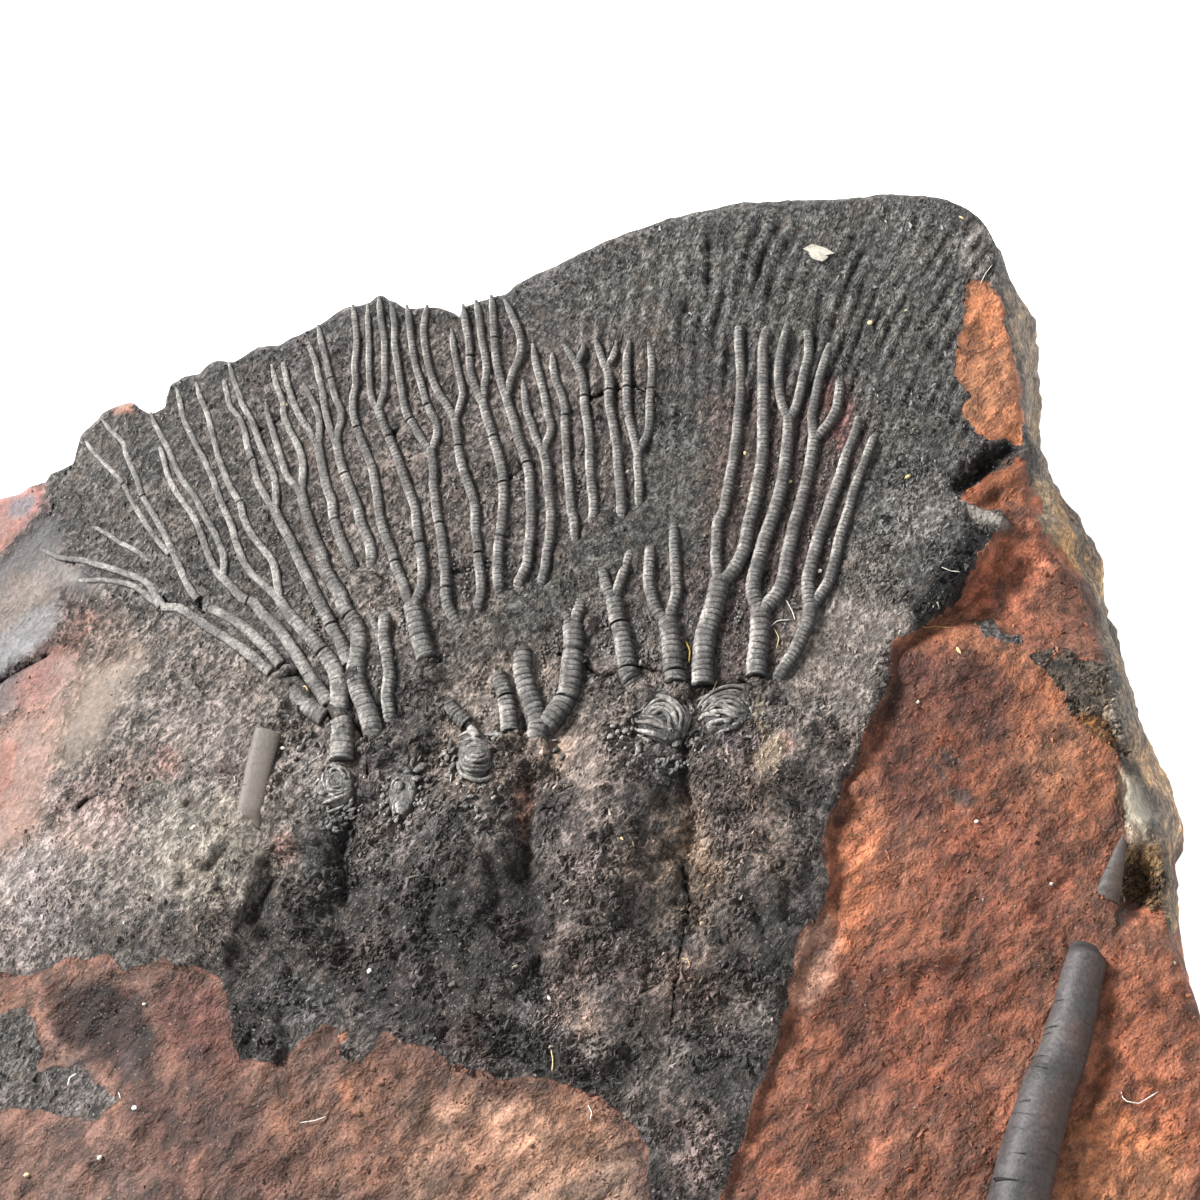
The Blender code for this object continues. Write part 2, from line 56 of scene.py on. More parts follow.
# The leaning sheet: its half size in steps and in metres, the eye it leans towards.
SHEET_HALF = 600.0
SHEET_REACH = 0.120
SIGHT_DISTANCE = 0.448
SIGHT_ELEVATION = math.radians(66.0)
SIGHT_SIN = math.sin(SIGHT_ELEVATION)
SIGHT_COS = math.cos(SIGHT_ELEVATION)
STEPS_PER_MM = 5.0
HALF_STEP = 0.0001              # metres

# Rock: cells of the face, rings of cells down the wall, cracks and furrows.
CELLS_ACROSS = 306
CELLS_ALONG = 284
WALL_RINGS = 18
WALL_MERGE = 2                  # face cells for one wall cell
WALL_WEAR = 24                  # wall cells to each side over which the rim evens out
CRACK_DEPTH = 1.3               # mm
CRACK_REACH = 2.3               # steps
FLUTE_PITCH = 16.0              # steps from one furrow at the back to the next
STEP_WIDTH = 9.0                # steps over which the red step drops

# Arms, stems and plates.
ROUTE_STEP = 0.0002             # metres between the points of a route
RING_SECTIONS = (0.0, 0.17, 0.5, 0.83)
ARM_SIDES = 11
ARM_RISE = 0.52                 # height of an arm as a share of its width
SKIRT = 0.0007                  # how deep arms and plates are rooted in the rock
END_TAPER = 0.0035              # length over which an end thins or sinks
BREAK_HALF = 0.00018            # half the gap where a crack parts an arm
JOINED = 7                      # strand ends nearer than this, in steps, meet
THICK_TIP = 1.85                # mm; a thicker tip doesn't thin out
DOME_SHARE = 0.72               # height of a plate cluster's dome, as a share of its rise

# Debris.
GRAINS = 110000                 # tries; about half find a place
GRAIN_BATCH = 22000
GRIT_PIECES = 900

# The slab's rim: column, row, how far the wall spreads below it in mm.
RIM_BACK = (
    (-95, 560, 3), (-50, 522, 2), (0, 495, 2), (20, 490, 2), (30, 482, 2), (45, 479, 2), (50, 470, 1),
    (60, 466, 1), (71, 460, 1), (76, 446, 1), (80, 430, 1), (95, 417, 1), (101, 409, 1), (118, 401, 1),
    (128, 398, 1), (140, 405, 1), (150, 409, 1), (165, 402, 1), (168, 389, 1), (171, 379, 1),
    (185, 373, 1), (198, 371, 1), (206, 363, 1), (213, 359, 1), (233, 359, 1), (240, 356, 1),
    (250, 349, 1), (257, 345, 1), (280, 342, 1), (290, 335, 1), (308, 326, 1), (322, 319, 1),
    (338, 308, 1), (345, 305, 1), (366, 302, 1), (374, 296, 1), (380, 295, 1), (393, 300, 1),
    (406, 306, 1), (430, 305, 1), (441, 305, 1), (452, 311, 1), (460, 315, 1), (464, 304, 1),
    (478, 299, 1), (495, 294, 1), (505, 292, 1), (512, 285, 1), (535, 272, 1), (560, 260, 1),
    (580, 249, 1), (600, 240, 1), (625, 231, 1), (650, 222, 1), (675, 214, 1), (700, 208, 1),
    (740, 198, 1), (800, 196, 1), (850, 194, 1), (880, 191, 2), (905, 190, 2), (925, 191, 2),
    (945, 195, 2), (965, 204, 2), (975, 212, 2), (985, 222, 3),
)
RIM_RIGHT = (
    (985, 222, 3), (998, 245, 9), (1002, 290, 15), (1011, 335, 12), (1020, 373, 11), (1024, 406, 7),
    (1031, 440, 11), (1030, 500, 17), (1048, 540, 18), (1085, 580, 13), (1104, 640, 12), (1122, 700, 12),
    (1128, 750, 16), (1140, 800, 16), (1164, 850, 9), (1168, 900, 9), (1176, 945, 7), (1200, 1000, 4),
    (1214, 1060, 5), (1222, 1130, 6), (1216, 1195, 6), (1196, 1250, 5),
)
RIM_FRONT = (
    (-70, 1285, 4), (20, 1300, 4), (110, 1316, 5), (210, 1306, 4), (330, 1322, 5), (450, 1332, 4),
    (560, 1318, 5), (680, 1330, 4), (800, 1322, 5), (905, 1306, 4), (1010, 1300, 5), (1110, 1282, 4),
    (1196, 1250, 5),
)
RIM_LEFT = (
    (-95, 560, 3), (-118, 640, 3), (-126, 740, 4), (-114, 850, 3), (-128, 960, 4), (-122, 1070, 3),
    (-102, 1180, 4), (-70, 1285, 4),
)

# Crowns and hollows: column, row, half-widths across and along, height in mm, lean.
MOUNDS = (
    (462, 850, 46, 100, 4.5, 0.0), (612, 840, 52, 105, 5.5, 0.0), (765, 840, 56, 110, 4.5, 0.0),
    (175, 880, 110, 75, 4.0, -0.35), (350, 895, 24, 80, -2.2, -0.25), (530, 850, 14, 80, -1.8, 0.05),
    (690, 815, 13, 75, -1.8, -0.08), (120, 1030, 75, 42, -2.6, 0.1), (986, 466, 32, 12, -3.6, -0.55),
    (1000, 495, 20, 14, -2.5, 0.0), (1146, 880, 22, 34, -7.0, 0.0), (1150, 965, 48, 45, 2.5, 0.0),
    (990, 610, 30, 10, -1.2, 0.0), (640, 480, 230, 150, 1.5, 0.0),
)
# Edge of the lower red rock at the right and front: column, row, drop in mm.
STEP_EDGE = (
    (470, 1010, 0.0), (520, 1004, 1.0), (538, 994, 4.5), (550, 987, 6.0), (580, 956, 6.5),
    (600, 945, 6.0), (619, 922, 4.0), (647, 893, 2.0), (675, 888, 1.8), (708, 876, 2.0), (734, 863, 2.2),
    (780, 840, 1.6), (830, 827, 1.4), (880, 829, 1.4), (950, 803, 1.2), (1060, 770, 1.2),
    (1200, 720, 1.0),
)

# Patches painted one over the other: kind, colour (0-255), share, softness in steps, outline.
# Kinds: g grey rock, r red rock, s stain on either, w washed smooth rock. Some patches are painted shade,
# painted shadow or painted glare, as marked below.
PATCHES = (
    ("g", (92, 84, 80), 0.75, 40, (
        (240, 420), (420, 330), (660, 330), (700, 560), (700, 690), (420, 690), (300, 600))),
    ("g", (86, 72, 68), 0.8, 25, (
        (700, 400), (860, 380), (870, 440), (820, 600), (800, 680), (690, 690))),
    ("g", (132, 84, 80), 0.7, 10, ((818, 372), (850, 388), (862, 440), (850, 462), (832, 440))),
    ("g", (96, 96, 93), 0.7, 40, (
        (560, 300), (700, 215), (930, 195), (960, 300), (930, 520), (870, 600), (850, 350))),
    ("g", (62, 66, 64), 0.6, 20, (
        (650, 400), (700, 380), (712, 470), (700, 560), (640, 560), (560, 620), (500, 660), (480, 620),
        (560, 560), (630, 500))),
    ("g", (79, 75, 72), 0.8, 30, ((40, 470), (170, 390), (260, 400), (330, 640), (200, 600), (60, 560))),
    # paler over the left of the face: partly the rock's own colour, partly painted glare where the face
    # dips towards the window light
    ("g", (109, 101, 95), 0.9, 25, (
        (100, 600), (240, 640), (330, 720), (300, 880), (200, 960), (20, 970), (-130, 960), (-130, 800),
        (40, 790))),
    ("g", (130, 124, 115), 0.75, 22, ((150, 780), (250, 800), (262, 860), (210, 920), (150, 890))),
    ("g", (62, 55, 53), 0.8, 20, (
        (0, 900), (120, 915), (240, 900), (300, 880), (320, 960), (250, 1000), (200, 962), (100, 958),
        (20, 975), (-100, 990))),
    ("g", (97, 88, 82), 0.7, 16, (
        (690, 750), (760, 740), (800, 800), (790, 900), (700, 900), (684, 820))),
    ("g", (112, 96, 78), 0.5, 12, ((660, 800), (695, 790), (725, 880), (700, 930), (650, 930))),
    ("g", (86, 78, 74), 0.6, 25, ((560, 760), (640, 760), (670, 860), (640, 980), (560, 960))),
    # painted shade in the deep hollow below the left cluster of plates
    ("g", (48, 46, 47), 0.8, 10, (
        (300, 832), (330, 820), (360, 830), (356, 872), (330, 884), (304, 872))),
    ("g", (82, 80, 78), 0.6, 10, ((352, 850), (384, 840), (392, 900), (380, 980), (350, 960))),
    # painted shade in the valleys beside the first crown (this patch and the next)
    ("g", (36, 31, 32), 0.7, 30, (
        (330, 880), (440, 880), (470, 960), (460, 1040), (400, 1030), (330, 1000))),
    ("g", (27, 23, 24), 0.8, 14, (
        (480, 850), (530, 860), (552, 890), (545, 990), (500, 980), (470, 900))),
    ("g", (118, 84, 70), 0.85, 7, ((520, 775), (536, 772), (534, 815), (526, 840), (518, 812))),
    ("g", (136, 127, 112), 0.75, 6, (
        (750, 700), (764, 698), (768, 720), (784, 735), (776, 752), (760, 770), (752, 756), (760, 735))),
    ("g", (132, 100, 90), 0.75, 5, ((776, 730), (792, 726), (790, 744), (778, 748))),
    ("g", (104, 98, 104), 0.7, 5, ((724, 726), (754, 722), (760, 740), (740, 752), (722, 745))),
    ("g", (134, 125, 119), 0.85, 18, (
        (790, 600), (880, 590), (925, 610), (885, 650), (870, 710), (850, 770), (800, 790), (775, 700))),
    ("g", (136, 126, 118), 0.75, 12, ((440, 660), (540, 655), (600, 715), (600, 785), (440, 795))),
    ("g", (126, 116, 110), 0.65, 14, ((585, 650), (680, 650), (690, 720), (590, 720))),
    ("g", (126, 113, 106), 0.8, 12, ((545, 950), (592, 950), (590, 1030), (550, 1020))),
    ("g", (64, 55, 52), 0.7, 12, ((604, 955), (655, 955), (655, 1020), (604, 1020))),
    ("g", (120, 115, 113), 0.7, 14, ((890, 480), (945, 470), (945, 530), (900, 545))),
    ("g", (126, 118, 112), 0.65, 16, (
        (350, 530), (430, 530), (430, 600), (360, 670), (300, 670), (300, 600))),
    ("g", (122, 114, 109), 0.7, 12, ((290, 715), (365, 715), (365, 790), (290, 790))),
    ("g", (100, 90, 85), 0.7, 14, ((655, 955), (720, 955), (725, 1025), (660, 1025))),
    ("g", (106, 100, 95), 0.7, 16, ((840, 540), (905, 530), (900, 600), (840, 600))),
    # pale patches at the far left: partly the rock's own colour, partly painted glare
    ("g", (134, 124, 119), 0.7, 16, ((150, 710), (250, 700), (260, 780), (170, 790))),
    ("g", (150, 132, 126), 0.7, 14, ((40, 790), (120, 780), (130, 840), (60, 860))),
    ("g", (128, 120, 118), 0.85, 14, ((-130, 915), (60, 895), (70, 950), (20, 975), (-130, 990))),
    ("g", (152, 141, 137), 0.85, 14, (
        (-130, 800), (0, 860), (40, 830), (70, 850), (60, 900), (-130, 930))),
    ("g", (62, 60, 59), 0.7, 12, ((95, 425), (190, 390), (200, 470), (120, 490), (80, 470))),
    ("g", (104, 92, 87), 0.7, 12, ((655, 1100), (720, 1100), (715, 1200), (665, 1200))),
    ("g", (62, 50, 47), 0.6, 10, ((420, 1015), (480, 1015), (500, 1075), (440, 1045))),
    # washed bedding at the far left
    ("w", (118, 76, 68), 0.95, 6, (
        (-100, 560), (-50, 520), (0, 490), (46, 486), (44, 514), (26, 532), (0, 550), (-100, 640))),
    ("w", (84, 78, 84), 0.9, 4, ((16, 500), (34, 498), (36, 512), (26, 522), (12, 516))),
    ("w", (54, 52, 53), 0.95, 10, (
        (-60, 640), (0, 556), (50, 515), (66, 545), (100, 580), (120, 610), (90, 620), (30, 640),
        (-40, 700))),
    ("w", (75, 66, 61), 0.9, 9, ((-60, 660), (-10, 600), (12, 570), (62, 584), (40, 610), (0, 640))),
    ("w", (94, 92, 94), 0.9, 6, (
        (-80, 730), (-30, 670), (0, 640), (30, 610), (62, 606), (50, 640), (0, 678))),
    ("w", (66, 54, 54), 0.95, 3, (
        (-60, 740), (0, 682), (45, 655), (52, 664), (30, 690), (0, 716), (-60, 770))),
    ("w", (102, 66, 58), 0.9, 12, (
        (10, 690), (55, 640), (85, 610), (104, 622), (80, 668), (60, 700), (20, 715))),
    ("w", (120, 94, 84), 0.95, 14, (
        (-130, 800), (-40, 745), (0, 716), (40, 700), (80, 676), (66, 730), (50, 780), (30, 830),
        (0, 872), (-60, 930), (-130, 900))),
    ("w", (122, 78, 66), 0.85, 5, ((-20, 770), (0, 735), (18, 744), (10, 790), (-10, 830))),
    ("w", (104, 90, 79), 0.95, 16, (
        (66, 700), (96, 640), (124, 622), (140, 650), (128, 700), (105, 745), (64, 770), (52, 740))),
    ("s", (86, 74, 69), 0.55, 12, ((58, 590), (120, 600), (124, 655), (82, 665), (56, 640))),
    ("s", (122, 104, 98), 0.6, 9, (
        (66, 790), (90, 768), (130, 748), (178, 745), (184, 770), (150, 775), (110, 800), (76, 806))),
    ("s", (126, 98, 92), 0.7, 6, ((158, 748), (170, 742), (180, 756), (176, 776), (160, 774))),
    ("s", (122, 98, 91), 0.6, 6, ((100, 800), (126, 798), (124, 812), (102, 812))),
    ("s", (132, 106, 94), 0.5, 6, ((214, 758), (232, 760), (230, 774), (216, 772))),
    ("s", (126, 98, 90), 0.8, 6, ((268, 836), (292, 832), (298, 850), (286, 864), (270, 854))),
    ("w", (150, 98, 76), 0.9, 4, ((108, 402), (132, 398), (140, 408), (120, 413))),
    # the red rock in front
    ("r", (105, 76, 65), 1.0, 8, (
        (-140, 985), (20, 978), (64, 962), (107, 960), (122, 975), (163, 957), (199, 962), (219, 972),
        (230, 993), (232, 1030), (256, 1060), (285, 1060), (306, 1039), (321, 1024), (334, 1029),
        (345, 1060), (381, 1029), (401, 1044), (437, 1049), (460, 1067), (493, 1080), (508, 1087),
        (529, 1080), (562, 1087), (595, 1100), (626, 1118), (643, 1143), (649, 1177), (654, 1200),
        (664, 1360), (-140, 1360))),
    ("r", (34, 18, 17), 0.9, 10, (
        (50, 990), (100, 985), (150, 1000), (160, 1050), (140, 1090), (90, 1050), (50, 1045))),
    ("r", (92, 57, 50), 0.9, 9, (
        (160, 975), (222, 985), (228, 1030), (240, 1060), (200, 1075), (165, 1050))),
    ("r", (116, 88, 78), 0.7, 3, (
        (40, 985), (44, 985), (48, 1030), (70, 1048), (98, 1070), (132, 1094), (130, 1100), (92, 1078),
        (62, 1056), (44, 1046))),
    ("g", (84, 80, 78), 0.95, 6, (
        (0, 1010), (24, 1003), (38, 1020), (40, 1045), (30, 1075), (0, 1090), (-60, 1080), (-60, 1030))),
    ("g", (86, 80, 78), 0.95, 6, (
        (30, 1072), (50, 1065), (75, 1063), (98, 1080), (118, 1100), (90, 1118), (30, 1105), (-20, 1110),
        (-20, 1085))),
    ("s", (66, 52, 50), 0.9, 5, ((122, 1052), (140, 1050), (146, 1075), (134, 1085), (122, 1075))),
    ("g", (46, 40, 39), 0.95, 4, (
        (232, 1002), (262, 996), (284, 1004), (292, 1040), (290, 1062), (262, 1055), (240, 1062),
        (230, 1040))),
    ("g", (60, 56, 54), 0.95, 4, (
        (338, 1028), (350, 1020), (368, 1018), (382, 1030), (372, 1050), (346, 1062))),
    ("r", (116, 83, 68), 0.7, 16, (
        (250, 1110), (340, 1060), (420, 1060), (470, 1100), (430, 1180), (300, 1200))),
    ("r", (166, 128, 106), 0.8, 14, (
        (480, 1110), (560, 1100), (620, 1130), (640, 1200), (600, 1250), (520, 1230))),
    ("r", (80, 54, 46), 0.7, 20, ((150, 1130), (260, 1130), (300, 1180), (240, 1240), (140, 1200))),
    ("r", (74, 49, 42), 0.7, 14, ((120, 1080), (240, 1075), (260, 1140), (130, 1150))),
    ("r", (158, 120, 100), 0.8, 14, ((400, 1100), (480, 1095), (500, 1200), (400, 1240))),
    ("s", (150, 100, 76), 0.8, 3, ((336, 1080), (348, 1078), (350, 1100), (338, 1104))),
    ("s", (160, 104, 74), 0.8, 2, ((339, 1031), (347, 1031), (347, 1039), (339, 1039))),
    # the red rock on the right
    ("r", (128, 86, 70), 1.0, 5, (
        (1010, 492), (1002, 520), (986, 548), (960, 583), (943, 605), (920, 624), (890, 647), (887, 675),
        (875, 708), (862, 734), (854, 762), (839, 780), (834, 805), (826, 831), (826, 856), (829, 882),
        (818, 907), (803, 948), (790, 1000), (770, 1060), (755, 1100), (735, 1150), (720, 1200),
        (700, 1360), (1300, 1360), (1300, 480), (1060, 470))),
    ("r", (88, 55, 47), 0.9, 16, (
        (892, 655), (960, 645), (1006, 660), (1010, 740), (970, 790), (930, 836), (895, 820), (876, 780),
        (880, 740))),
    ("r", (152, 104, 80), 0.85, 10, (
        (918, 622), (960, 622), (1000, 640), (1052, 655), (1066, 700), (1100, 752), (1128, 790),
        (1090, 820), (1040, 800), (1012, 720), (1008, 668), (960, 640))),
    ("r", (126, 80, 60), 0.7, 16, (
        (930, 730), (1000, 745), (1060, 820), (1080, 900), (1000, 860), (930, 790))),
    ("r", (186, 124, 94), 0.75, 12, (
        (838, 800), (872, 800), (880, 880), (862, 940), (840, 980), (822, 960), (835, 900))),
    ("r", (120, 76, 62), 0.7, 16, (
        (960, 800), (1040, 830), (1080, 870), (1060, 940), (1000, 960), (940, 900))),
    ("r", (176, 144, 132), 0.8, 10, ((806, 920), (836, 915), (838, 975), (806, 1010), (786, 1000))),
    ("r", (100, 64, 48), 0.7, 9, ((1080, 792), (1122, 798), (1128, 850), (1084, 850))),
    ("r", (72, 41, 32), 0.8, 16, ((838, 965), (900, 950), (910, 1070), (850, 1110), (832, 1060))),
    ("r", (186, 124, 102), 0.9, 8, (
        (1000, 540), (1042, 540), (1062, 604), (980, 612), (962, 602), (980, 575))),
    ("s", (56, 56, 58), 0.85, 4, ((948, 790), (966, 788), (976, 800), (972, 812), (958, 806))),
    ("s", (66, 66, 68), 0.7, 4, ((944, 748), (958, 756), (968, 764), (958, 770), (946, 762))),
    ("s", (60, 58, 60), 0.8, 4, ((930, 764), (940, 764), (948, 780), (942, 786), (932, 776))),
    ("s", (60, 46, 44), 0.8, 3, ((898, 818), (904, 820), (902, 842), (894, 844))),
    ("s", (56, 44, 44), 0.85, 3, ((1000, 602), (1010, 600), (1008, 610), (1000, 616))),
    ("s", (74, 66, 64), 0.8, 3, ((996, 582), (1006, 580), (1004, 600), (998, 600))),
    ("g", (84, 80, 80), 0.9, 3, ((972, 620), (1000, 626), (1024, 634), (1014, 640), (990, 634))),
    ("r", (120, 74, 58), 0.7, 22, ((880, 980), (980, 930), (1030, 1000), (980, 1120), (880, 1130))),
    ("r", (140, 92, 70), 0.8, 16, (
        (1110, 960), (1150, 915), (1230, 1000), (1230, 1150), (1130, 1180), (1080, 1060))),
    ("r", (176, 121, 89), 0.8, 16, (
        (1050, 1120), (1120, 1090), (1180, 1120), (1190, 1250), (1060, 1260))),
    ("r", (170, 118, 88), 1.0, 3, (
        (982, 284), (995, 285), (1000, 295), (1003, 320), (1012, 340), (1017, 362), (1024, 385),
        (1026, 420), (1020, 446), (992, 446), (980, 438), (968, 420), (966, 405), (972, 396), (962, 388),
        (957, 372), (953, 347), (961, 330), (963, 310), (965, 290))),
    ("g", (132, 127, 121), 0.7, 10, (
        (960, 240), (978, 220), (1000, 235), (1004, 280), (996, 290), (980, 280), (962, 268))),
    # painted shade: the black notch in the ledge's edge
    ("g", (26, 23, 24), 0.9, 6, (
        (953, 480), (958, 470), (972, 466), (978, 455), (990, 452), (1000, 444), (1016, 447), (1010, 458),
        (998, 462), (996, 474), (980, 478), (976, 489), (958, 494))),
    ("r", (138, 86, 62), 1.0, 4, (
        (956, 500), (974, 484), (998, 470), (1014, 456), (1028, 456), (1032, 492), (1016, 512),
        (985, 508))),
    ("w", (134, 128, 120), 0.9, 3, (
        (955, 501), (968, 503), (984, 509), (1012, 520), (1014, 530), (1000, 531), (984, 521),
        (962, 510))),
    # painted shadow: the near-black band that the grey layer's broken edge casts on the red rock below
    # the ledge
    ("g", (12, 10, 11), 0.98, 3, (
        (970, 522), (992, 531), (990, 546), (977, 566), (962, 588), (948, 607), (928, 620), (912, 622),
        (912, 606), (926, 586), (944, 560), (956, 538))),
    ("s", (96, 62, 40), 0.7, 5, (
        (1000, 462), (1016, 458), (1018, 480), (1004, 496), (988, 500), (990, 480))),
    # the broken wall on the right
    ("g", (150, 136, 118), 1.0, 4, (
        (985, 215), (1004, 250), (1002, 290), (1011, 335), (1022, 373), (1027, 406), (1032, 430),
        (1040, 455), (1032, 490), (1045, 525), (1065, 548), (1090, 585), (1104, 610), (1106, 650),
        (1104, 700), (1112, 740), (1128, 790), (1126, 830), (1132, 846), (1180, 845), (1300, 850),
        (1300, 200), (1000, 200))),
    ("s", (96, 90, 85), 0.8, 6, (
        (985, 215), (1060, 215), (1078, 430), (1044, 455), (1027, 406), (1011, 335), (1002, 290))),
    ("s", (104, 98, 91), 0.8, 6, ((1100, 600), (1150, 600), (1180, 765), (1130, 765), (1106, 700))),
    ("g", (74, 64, 54), 0.95, 3, (
        (1030, 650), (1045, 645), (1070, 645), (1084, 657), (1106, 660), (1108, 740), (1096, 735),
        (1085, 718), (1068, 705), (1062, 690), (1050, 668), (1034, 656))),
    ("s", (160, 104, 76), 0.85, 2, ((1055, 647), (1067, 647), (1068, 656), (1056, 655))),
    ("s", (150, 118, 74), 0.6, 6, (
        (1046, 480), (1060, 490), (1088, 540), (1104, 590), (1090, 585), (1060, 540))),
    ("s", (140, 100, 58), 0.75, 5, ((1080, 712), (1104, 716), (1122, 745), (1106, 752), (1092, 735))),
    ("s", (38, 32, 30), 0.9, 3, ((1108, 740), (1125, 753), (1144, 768), (1136, 774), (1116, 760))),
    ("s", (44, 38, 34), 0.9, 2, ((1108, 672), (1114, 670), (1118, 684), (1112, 692))),
    ("s", (50, 44, 40), 0.85, 2, ((1121, 664), (1126, 668), (1125, 680), (1120, 678))),
    ("s", (60, 50, 42), 0.85, 3, ((1024, 455), (1040, 456), (1040, 470), (1026, 470))),
    ("w", (176, 168, 150), 0.85, 6, (
        (1116, 764), (1128, 770), (1150, 800), (1170, 824), (1152, 834), (1130, 822), (1124, 795))),
    ("g", (120, 112, 100), 0.85, 4, ((1146, 822), (1176, 812), (1178, 840), (1150, 842))),
    ("g", (112, 92, 64), 0.96, 3, (
        (1124, 846), (1150, 844), (1162, 838), (1178, 845), (1177, 872), (1166, 906), (1152, 914),
        (1135, 902), (1114, 900), (1118, 875))),
    ("g", (150, 130, 98), 0.85, 4, ((1164, 892), (1178, 885), (1190, 905), (1186, 942), (1172, 930))),
    ("r", (150, 98, 77), 0.9, 6, (
        (1147, 904), (1165, 925), (1195, 968), (1220, 1020), (1232, 1120), (1150, 1130), (1080, 1068),
        (1092, 1023), (1103, 979), (1109, 949), (1130, 926))),
    ("w", (52, 32, 27), 0.85, 4, ((1112, 912), (1126, 903), (1142, 905), (1132, 918), (1112, 936))),
)

# Rough rock left over the arms: column, row, half-widths in steps, thickness in mm.
COVERS = (
    (540, 612, 44, 20, 0.9), (575, 578, 26, 20, 0.8), (606, 548, 30, 22, 0.9), (645, 526, 30, 18, 0.9),
    (688, 505, 18, 44, 0.6), (482, 640, 24, 22, 0.7), (445, 676, 15, 15, 0.6), (366, 594, 15, 12, 0.6),
    (505, 650, 16, 18, 0.7), (392, 742, 26, 20, 0.9), (378, 760, 14, 16, 0.6), (570, 560, 20, 14, 0.5),
    (640, 470, 14, 20, 0.4), (470, 612, 12, 10, 0.5),
)

# Creases in the rock: rise in mm (negative for a furrow), width in steps, line.
CREASES = (
    (1.2, 4, ((958, 505), (975, 510), (996, 519), (1012, 529))),
    (-1.2, 5, ((966, 521), (985, 530), (998, 538))),
    (-0.8, 5, ((980, 545), (962, 566), (941, 590), (921, 610))),
    (-0.9, 5, ((956, 486), (970, 479), (982, 470))), (-1.2, 5, ((976, 470), (990, 461), (1008, 449))),
    (1.0, 7, ((970, 496), (992, 486), (1012, 476))), (0.9, 7, ((955, 462), (972, 456), (990, 444))),
    (-1.9, 6, ((262, 862), (272, 868), (266, 884), (252, 900), (246, 908))),
    (-1.0, 7, ((246, 908), (262, 934), (290, 958))),
    (1.5, 9, ((232, 868), (246, 878), (238, 896), (226, 910))),
    (1.1, 5, ((182, 818), (176, 842), (173, 867), (176, 898))),
    (1.2, 5, ((243, 898), (236, 912), (228, 936), (219, 962))),
    (-0.9, 6, ((196, 850), (214, 872), (222, 890))), (0.9, 6, ((150, 846), (164, 826), (178, 806))),
    (0.9, 6, ((196, 822), (214, 838), (238, 848))), (-0.8, 6, ((160, 868), (150, 892), (146, 914))),
    (0.8, 8, ((40, 985), (44, 1020), (68, 1050), (100, 1078), (134, 1098))),
    (-1.0, 7, ((240, 1006), (256, 1020), (250, 1044), (262, 1056))),
    (0.9, 6, ((252, 1000), (270, 1012), (276, 1036))), (-1.0, 6, ((284, 1020), (290, 1044), (280, 1062))),
    (-1.2, 7, ((532, 778), (536, 806), (528, 840), (532, 872))),
    (-1.3, 6, ((686, 742), (684, 764), (688, 800))),
    (-1.1, 6, ((544, 862), (552, 900), (548, 950), (520, 985))),
    (-0.9, 6, ((486, 862), (500, 884), (494, 910))), (-1.0, 7, ((336, 830), (350, 862), (346, 900))),
    (-1.3, 7, ((306, 846), (326, 860), (344, 856))),
    (-0.9, 6, ((352, 770), (356, 800), (350, 832), (340, 852))),
    (-1.2, 6, ((300, 960), (280, 944), (262, 930))), (1.2, 8, ((300, 900), (290, 930), (310, 950))),
    (-1.0, 6, ((398, 830), (410, 800), (424, 790))), (-0.9, 6, ((394, 826), (388, 856), (398, 890))),
    (1.2, 12, ((560, 806), (600, 792), (650, 800))), (1.0, 10, ((556, 958), (566, 982), (590, 1000))),
    (-0.9, 6, ((838, 884), (834, 930), (820, 974))), (-0.8, 7, ((1040, 905), (1070, 930), (1078, 950))),
    (0.9, 10, ((880, 690), (866, 740), (858, 790))),
    (1.1, 9, ((1146, 908), (1114, 950), (1106, 985), (1094, 1030), (1080, 1076))),
    (-1.2, 6, ((1104, 716), (1122, 745), (1142, 768))), (0.9, 8, ((866, 980), (900, 960), (960, 950))),
    (-0.9, 8, ((880, 1008), (930, 984), (986, 976))),
    (0.8, 9, ((1096, 1110), (1130, 1080), (1180, 1070))),
    (-0.7, 8, ((1090, 1134), (1140, 1108), (1190, 1100))),
    (-0.8, 8, ((470, 1086), (520, 1102), (575, 1112), (620, 1134))),
    (0.9, 9, ((380, 1046), (420, 1062), (470, 1090))),
)

# Cracks that run through rock and arms.
CRACKS = (
    ((318, 645), (325, 636), (338, 615)), ((281, 675), (298, 673), (312, 690), (322, 703), (330, 716)),
    ((330, 718), (352, 718), (365, 740), (367, 775)),
    ((587, 667), (603, 676), (625, 667), (640, 664), (655, 669), (668, 669), (683, 667)),
    ((694, 690), (712, 689), (725, 683), (745, 680), (758, 686)), ((447, 571), (465, 570), (484, 560)),
    ((586, 398), (605, 391), (634, 384), (656, 395)),
    ((682, 865), (689, 901), (683, 935), (677, 965), (673, 1000), (669, 1029)),
    ((161, 598), (180, 602), (196, 601), (206, 612)), ((62, 556), (74, 562)),
    ((556, 653), (575, 655), (585, 662)), ((386, 433), (398, 425), (391, 441)),
    ((255, 431), (266, 424), (278, 418)), ((509, 478), (521, 466), (533, 466)), ((419, 665), (440, 660)),
    ((0, 680), (20, 668), (45, 655)), ((75, 808), (90, 796), (104, 790)),
    ((1108, 740), (1125, 754), (1142, 769)),
)

